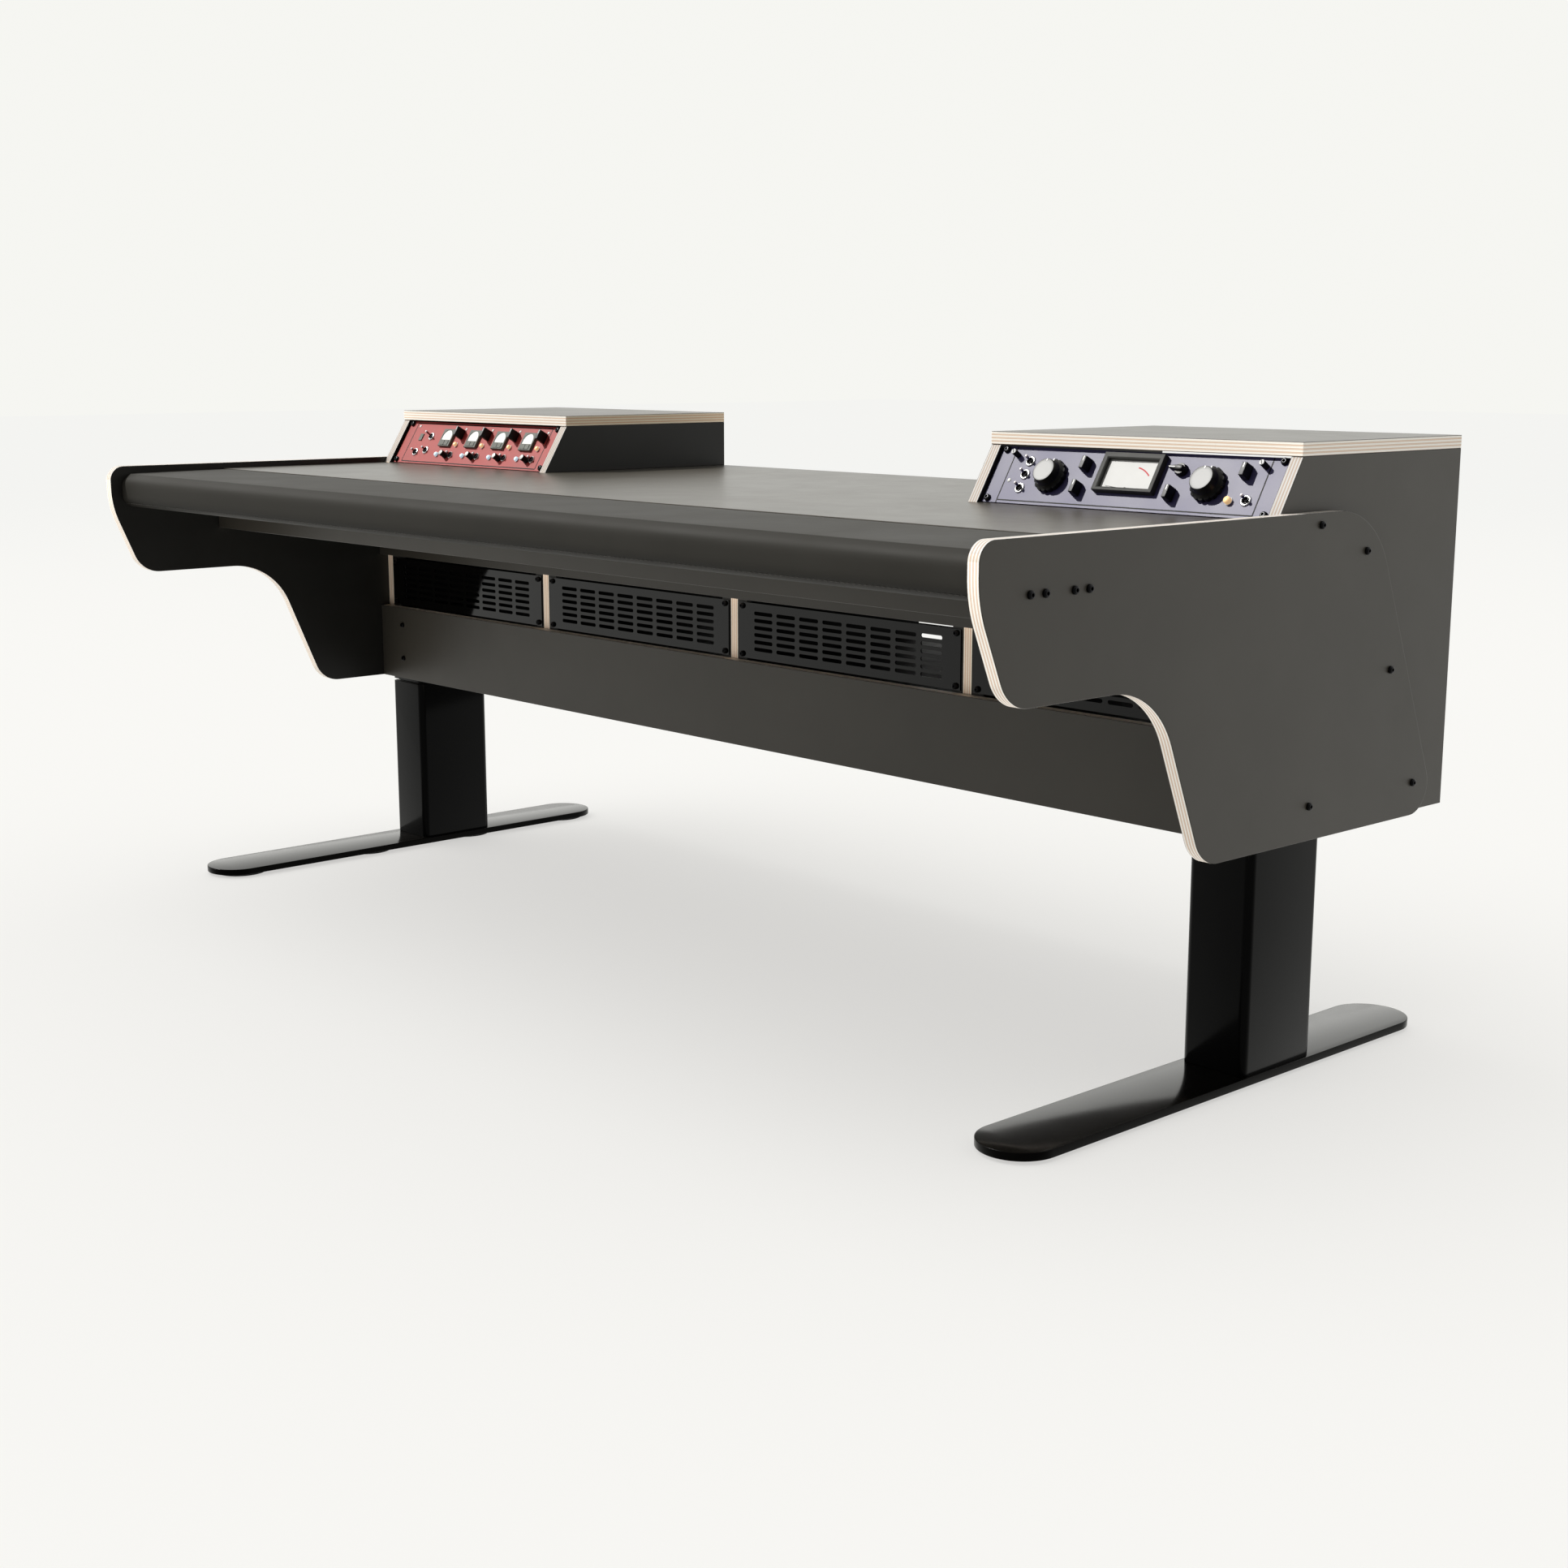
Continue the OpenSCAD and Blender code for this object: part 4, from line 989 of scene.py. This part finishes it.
SPUN = Mat("spun_aluminium", (0.25, 0.25, 0.25), 0.60, 0.55)
_v = SPUN.obj()
_n = SPUN.noise(_v, 2400, 3)
SPUN.rough(SPUN.grey(_n, 0.54, 0.68))
SPUN.bump(_n, 0.15, 0.00003)
SPUN = SPUN.m
for i, u in enumerate((-132.6, 132.6)):
    bm = bmesh.new()
    M = rack(POD_C, u, -0.7)
    N_FL = 16

    def skirt(r, h, a):
        w = 0.5 - 0.5 * math.cos(a * N_FL)
        if r > 22.6 and h < 7.6:
            return r - 1.7 * w ** 3
        return r

    prof = [(3.2, 0.6), (24.4, 0.6), (25.0, 1.0), (25.0, 6.4), (24.6, 6.9), (22.4, 7.4), (20.2, 9.4), (19.8, 10.0), (19.2, 10.6), (17.6, 20.6), (17.2, 21.3), (16.6, 21.6)]
    revolve(bm, prof, M, 16 * 10, warp=skirt, mats=[0] * 5 + [0] * 6)
    # spun disc in the top, slightly dished
    revolve(bm, [(16.6, 21.6), (16.2, 21.75), (15.7, 21.55), (12, 21.4), (6, 21.3), (0, 21.25)], M, 64, mats=[1, 1, 1, 1, 1])
    # pointer line down the side
    box(bm, (-0.75, 13.6, 21.3), (0.75, 16.9, 22.0), M, 2, 0.15)
    box(bm, (-0.75, 20.0, 8.6), (0.75, 23.6, 9.9), M, 2, 0.15)
    for (r0, z0), (r1, z1) in (((16.9, 21.3), (19.35, 10.7)), ((20.4, 9.5), (22.3, 7.7))):
        part = bmesh.new()
        vs = [part.verts.new(p) for p in ((-0.5, r0 + 0.12, z0), (0.5, r0 + 0.12, z0), (0.5, r1 + 0.12, z1), (-0.5, r1 + 0.12, z1),
                                          (-0.5, r0 - 0.5, z0), (0.5, r0 - 0.5, z0), (0.5, r1 - 0.5, z1), (-0.5, r1 - 0.5, z1))]
        for f in ((0, 1, 2, 3), (4, 7, 6, 5), (0, 4, 5, 1), (1, 5, 6, 2), (2, 6, 7, 3), (3, 7, 4, 0)):
            part.faces.new([vs[k] for k in f])
        for f in part.faces:
            f.material_index = 2
        merge(bm, part, M)
    revolve(bm, [(3.0, 0.7), (3.0, -8.0), (0, -8.0)], M, 24, mats=[3, 3])
    link_object("large_knob_%d" % (i + 1), bm, [KNOB, SPUN, WHITE, CHROME], NODE_BODY["blue_large_knob_%d" % (i + 1)], "blue_large_knob_%d" % (i + 1), 35)

for i in range(4):
    bm = bmesh.new()
    M = rack(-POD_C, -94 + 86 * i + 17.5, -25)

    def knurl(r, h, a):
        return r - (0.28 if 5.0 < r < 5.5 and 4.2 < h < 13.0 and int(a / (2 * math.pi) * 56 + 0.25) % 2 else 0)

    revolve(bm, [(0, 0.6), (6.2, 0.6), (6.2, 2.8), (5.6, 3.6), (5.4, 4.0), (5.4, 4.4), (5.3, 12.8), (5.2, 13.2), (4.7, 13.8)], M, 112, warp=knurl, mats=[0] * 8)
    revolve(bm, [(4.7, 13.8), (4.4, 14.0), (0, 14.0)], M, 40, mats=[1, 1])
    revolve(bm, [(3.0, 0.7), (3.0, -8.0), (0, -8.0)], M, 24, mats=[2, 2])
    link_object("round_knob_%d" % (i + 1), bm, [KNOB, WHITE, CHROME], NODE_BODY["red_round_knob_%d" % (i + 1)], "red_round_knob_%d" % (i + 1), 35)


def toggle(name, node, M, l):
    bm = bmesh.new()
    Mt = M @ Matrix.Rotation(math.radians(-9), 4, "X")
    ball = [(2.8 * math.cos(math.radians(a)), 2.8 * math.sin(math.radians(a))) for a in range(-54, 57, 9)]
    prof = [(0, -5), (1.1, -5), (1.1, -2.4)] + ball + [(1.35, 2.7), (1.5, 4.0), (1.75, l * 0.55), (2.15, l - 2.2), (2.2, l - 1.6), (2.0, l - 0.8), (1.4, l - 0.2), (0.7, l), (0, l)]
    # the lever's rounded end takes the pale tip, a painted highlight; the shaft takes the darkened chrome, painted
    # shade
    revolve(bm, prof, Mt, 24, mats=[0] * (len(prof) - 6) + [1] * 5)
    revolve(bm, [(0, -3.2), (0.8, -3.2), (0.8, 3.2), (0, 3.2)], M @ Matrix.Rotation(math.pi / 2, 4, "Y"), 16)
    return link_object(name, bm, [LEVER_PAINTED_SHADE, TIP_PAINTED_HIGHLIGHT], NODE_BODY[node], node, 40)


for i, (u, v) in enumerate(BLUE_TOG):
    toggle("lever_blue_%d" % (i + 1), "blue_toggle_%d" % (i + 1), rack(POD_C, u, v), 14)
for i, (u, v) in enumerate(RED_TOG):
    toggle("lever_red_%d" % (i + 1), "red_channel_toggle_%d" % (i + 1), rack(-POD_C, u, v), 12)
for i, (u, v) in enumerate(RED_LEFT):
    toggle("lever_red_left_%d" % (i + 1), "red_left_toggle_%d" % (i + 1), rack(-POD_C, u, v), 17 if i == 0 else 12)

# meter needle
bm = bmesh.new()
M = rack(POD_C, 3, -14.5, 3.4, 84)
revolve(bm, [(0, 0), (2.4, 0), (2.4, 1.7), (2.1, 2.0), (0, 2.0)], M, 28)
part = bmesh.new()
vs = [part.verts.new(p) for p in ((-0.5, -1, 0.8), (0.5, -1, 0.8), (0.16, 35, 0.9), (-0.16, 35, 0.9), (-0.5, -1, 1.4), (0.5, -1, 1.4), (0.16, 35, 1.2), (-0.16, 35, 1.2))]
for f in ((3, 2, 1, 0), (4, 5, 6, 7), (0, 1, 5, 4), (1, 2, 6, 5), (2, 3, 7, 6), (3, 0, 4, 7)):
    part.faces.new([vs[k] for k in f])
merge(bm, part, M)
link_object("needle", bm, [INK], NODE_BODY["blue_meter_needle"], "blue_meter_needle", 35)

# grey key on the red unit's left section
bm = bmesh.new()
box(bm, (-5, -7, 0), (5, 7, 1.6), rack(-POD_C, -185.4, 11), 0, 0.4)
link_object("grey_key", bm, [GREY_KEY], "desk", slot="black_plastic")

# ------------------------------------------------------------------ armrest


def hide(name, k, spec):
    """Pebbled black upholstery."""
    m = Mat(name, (0.018 * k, 0.0172 * k, 0.0155 * k), 0.60, spec=spec)
    v = m.obj()
    pebble = m.voronoi(v, 950)
    fine = m.noise(v, 2200, 3)
    wide = m.noise(v, 5, 4, 0.6, 0.4)
    m.color(m.mix(m.grey(wide, 0, 1, 0.3, 0.7), tuple(q * k for q in (0.0195, 0.0182, 0.0152)), tuple(q * k for q in (0.0250, 0.0233, 0.0198))))
    m.rough(m.grey(wide, 0.56, 0.66, 0.3, 0.7))
    m.bump(m.math("ADD", pebble, m.math("MULTIPLY", fine, 0.4)), 0.25, 0.00008)
    return m.m


# the top faces take a lighter, glossier copy of the hide and the rest a darker one: painted light on the top
PADMAT = hide("armrest_hide", 0.92, 0.12)
PADTOP_PAINTED_LIGHT = hide("armrest_hide_top_painted_light", 1.12, 0.21)
STITCH = plastic("thread_grey", (0.029, 0.0278, 0.0245), 0.7, 0.15)

PAD = [(202.7, 364.9), (202.7, 378), (202.7, 390.8), (209.5, 391.0), (216.5, 391.2), (216.6, 399.0), (216.5, 406.2), (215.8, 407.2), (214.6, 407.5), (200, 407.4),
       (180, 407.2), (150, 406.9), (120, 406.6), (90, 406.3), (65, 406.0), (49, 405.85), (41, 405.75), (36, 405.65), (33.8, 405.55), (33.0, 405.35),
       (32.4, 404.95), (30.2, 403.4), (27.0, 401.0), (23.8, 398.0), (21.2, 394.3), (19.5, 390.4), (18.5, 385.2), (18.15, 379.8), (18.1, 374.0), (18.2, 368.6), (18.6, 364.2), (19.8, 360.4),
       (22.0, 356.9), (25.0, 353.9), (29.4, 351.0), (35.0, 348.7), (40.0, 347.4), (44.7, 346.9), (44.7, 353), (44.7, 359), (44.7, 364.9), (80, 364.9), (120, 364.9), (160, 364.9)]
bm = bmesh.new()
XS = [-1024.6, -1024.0, -1022.4, -1019.5, -1014.0] + [-1000 + i * 12.5 for i in range(161)] + [1014.0, 1019.5, 1022.4, 1024.0, 1024.6]
rows = []
for x in XS:
    e = max(0.0, abs(x) - 1014.0) / 10.6
    inset = 2.2 * e ** 3
    row = []
    for k, (y, z) in enumerate(PAD):
        cyc, czc = 110.0, 380.0
        top = z > 404.9
        w = noise.noise(Vector((x * 0.011, y * 0.02, 3.1))) * 0.5 + noise.noise(Vector((x * 0.05, y * 0.06, 9.4))) * 0.12
        yy, zz = y, z
        if y > 60 and top:
            zz += w * 0.35 - 0.2
        if y < 45:
            d = Vector((y - 45, z - 380)).normalized()
            yy += d.x * (w * 0.35 - 0.25)
            zz += d.y * (w * 0.35 - 0.25) if z > 352 else 0
        if inset > 0 and z > 352 and y < 216:
            dy, dz = (yy - cyc), (zz - czc)
            if y < 45:
                yy += inset * 0.9
            if top or z > 395:
                zz -= inset * 0.9
        row.append(bm.verts.new(P(x, yy, zz)))
    rows.append(row)
n = len(PAD)
for a, b in zip(rows, rows[1:]):
    for k in range(n):
        bm.faces.new((a[k], b[k], b[(k + 1) % n], a[(k + 1) % n]))
bm.faces.new(rows[0])
bm.faces.new(rows[-1][::-1])
bmesh.ops.recalc_face_normals(bm, faces=bm.faces)
# upward faces take the lighter hide copy: painted light on the top
for f in bm.faces:
    f.material_index = 1 if f.normal.z > 0.9 else 0
pad = link_object("armrest_upholstery", bm, [PADMAT, PADTOP_PAINTED_LIGHT], "desk", "armrest_pad", 50)

bm = bmesh.new()
seam_y, seam_z = 23.2, 354.6
x = -1018.0
k = 0
while x < 1014:
    w = noise.noise(Vector((x * 0.02, 5.5, 1.0)))
    M = Matrix.Translation(P(x, seam_y + 0.25 * w, seam_z + 0.5 * w)) @ Matrix.Rotation(math.pi / 2, 4, "Y") @ Matrix.Scale(0.001, 4)
    revolve(bm, [(0.15, 0.0), (0.45, 0.7), (0.55, 2.0), (0.55, 5.0), (0.45, 6.3), (0.15, 7.0)], M, 8)
    x += 9.5
    k += 1
link_object("armrest_stitches", bm, [STITCH], "desk", smooth=60, slot="armrest_leather")

# ------------------------------------------------------------------ stage, lights, camera
me = bpy.data.meshes.new("floor")
me.from_pydata([(-30, -30, 0), (30, -30, 0), (30, 30, 0), (-30, 30, 0)], [], [(0, 1, 2, 3)])
floor = bpy.data.objects.new("floor", me)
scene.collection.objects.link(floor)
fl = Mat("floor_pale", (0.33, 0.33, 0.325), 0.6, spec=0.0)
fl.b.inputs["Emission Color"].default_value = (1.0, 0.995, 0.98, 1)
fl.b.inputs["Emission Strength"].default_value = 1.0
_n = fl.noise(fl.obj(), 900, 2)
fl.bump(_n, 0.05, 0.0002)
_d = fl.node("ShaderNodeVectorMath", operation="LENGTH")
fl.link(fl.obj(), _d.inputs[0])
_far = fl.node("ShaderNodeMapRange", interpolation_type="SMOOTHSTEP")
for _k, _w in (("From Min", 3.0), ("From Max", 13.0)):
    _far.inputs[_k].default_value = _w
fl.link(_d.outputs["Value"], _far.inputs["Value"])
fl.color(fl.mix(_far.outputs[0], (0.33, 0.33, 0.325), (0.0, 0.0, 0.0)))
fl.link(fl.mix(_far.outputs[0], (0.575, 0.568, 0.555), (0.905, 0.905, 0.882)), fl.b.inputs["Emission Color"])
me.materials.append(fl.m)

world = bpy.data.worlds.new("studio")
scene.world = world
world.use_nodes = True
wt = world.node_tree
bg = wt.nodes["Background"]
tc = wt.nodes.new("ShaderNodeTexCoord")
dot = wt.nodes.new("ShaderNodeVectorMath")
dot.operation = "DOT_PRODUCT"
dot.inputs[1].default_value = Vector((-0.62, 0.78, 0.08)).normalized()
wt.links.new(tc.outputs["Generated"], dot.inputs[0])
wr = wt.nodes.new("ShaderNodeMapRange")
wr.interpolation_type = "SMOOTHSTEP"
for k, v in (("From Min", -0.75), ("From Max", 0.75), ("To Min", 0.14), ("To Max", 1.06)):
    wr.inputs[k].default_value = v
wt.links.new(dot.outputs["Value"], wr.inputs["Value"])
lp = wt.nodes.new("ShaderNodeLightPath")
wm = wt.nodes.new("ShaderNodeMix")
wm.data_type = "FLOAT"
wm.inputs[3].default_value = 0.92
wt.links.new(lp.outputs["Is Camera Ray"], wm.inputs[0])
wt.links.new(wr.outputs[0], wm.inputs[2])
wt.links.new(wm.outputs[0], bg.inputs[1])
bg.inputs[0].default_value = (1.0, 1.0, 0.962, 1)
floor.visible_glossy = False


def area(name, loc, target, size, power, color=(1, 1, 1), size_y=None):
    ld = bpy.data.lights.new(name, "AREA")
    ld.energy = power
    ld.color = color
    ld.size = size
    if size_y:
        ld.shape = "RECTANGLE"
        ld.size_y = size_y
    o = bpy.data.objects.new(name, ld)
    o.location = loc
    o.rotation_euler = (Vector(target) - Vector(loc)).to_track_quat("-Z", "Y").to_euler()
    scene.collection.objects.link(o)
    return o


def sun_light(name, direction, energy, angle, color, receivers):
    ld = bpy.data.lights.new(name, "SUN")
    ld.energy = energy
    ld.angle = math.radians(angle)
    ld.color = color
    o = bpy.data.objects.new(name, ld)
    o.rotation_euler = Vector(direction).to_track_quat("-Z", "Y").to_euler()
    scene.collection.objects.link(o)
    o.light_linking.receiver_collection = receivers
    return o


only_floor = bpy.data.collections.new("lit_floor")
only_floor.objects.link(floor)
only_desk = bpy.data.collections.new("lit_desk")
for ob in scene.objects:
    if ob.type == "MESH" and ob is not floor:
        only_desk.objects.link(ob)
sun_light("key", (0.54, 0.44, -0.71), 4.1, 0.8, (1.0, 0.985, 0.95), only_desk)
fill = area("front_fill", (-2.2, -3.6, 0.75), (0.2, 0.0, 0.55), 2.6, 36.0, (1.0, 0.985, 0.96), 1.6)
fill.visible_glossy = False
fill.data.specular_factor = 0.15
fill.light_linking.receiver_collection = only_desk
sun_light("floor_wash", (0.25, 0.35, -0.9), 1.72, 75, (1.0, 1.0, 0.985), only_floor)

cam = bpy.data.cameras.new("camera")
cam.lens = 50
cam.sensor_width = 36
co = bpy.data.objects.new("camera", cam)
yaw, pitch = math.radians(47.97), math.radians(11.19)
co.location = (2.6164, -2.1792, 0.938)
fwd = Vector((-math.sin(yaw) * math.cos(pitch), math.cos(yaw) * math.cos(pitch), -math.sin(pitch)))
co.rotation_euler = fwd.to_track_quat("-Z", "Y").to_euler()
cam.clip_start = 0.01
cam.clip_end = 200
scene.collection.objects.link(co)
scene.camera = co
scene.view_settings.view_transform = "Standard"
scene.view_settings.look = "None"
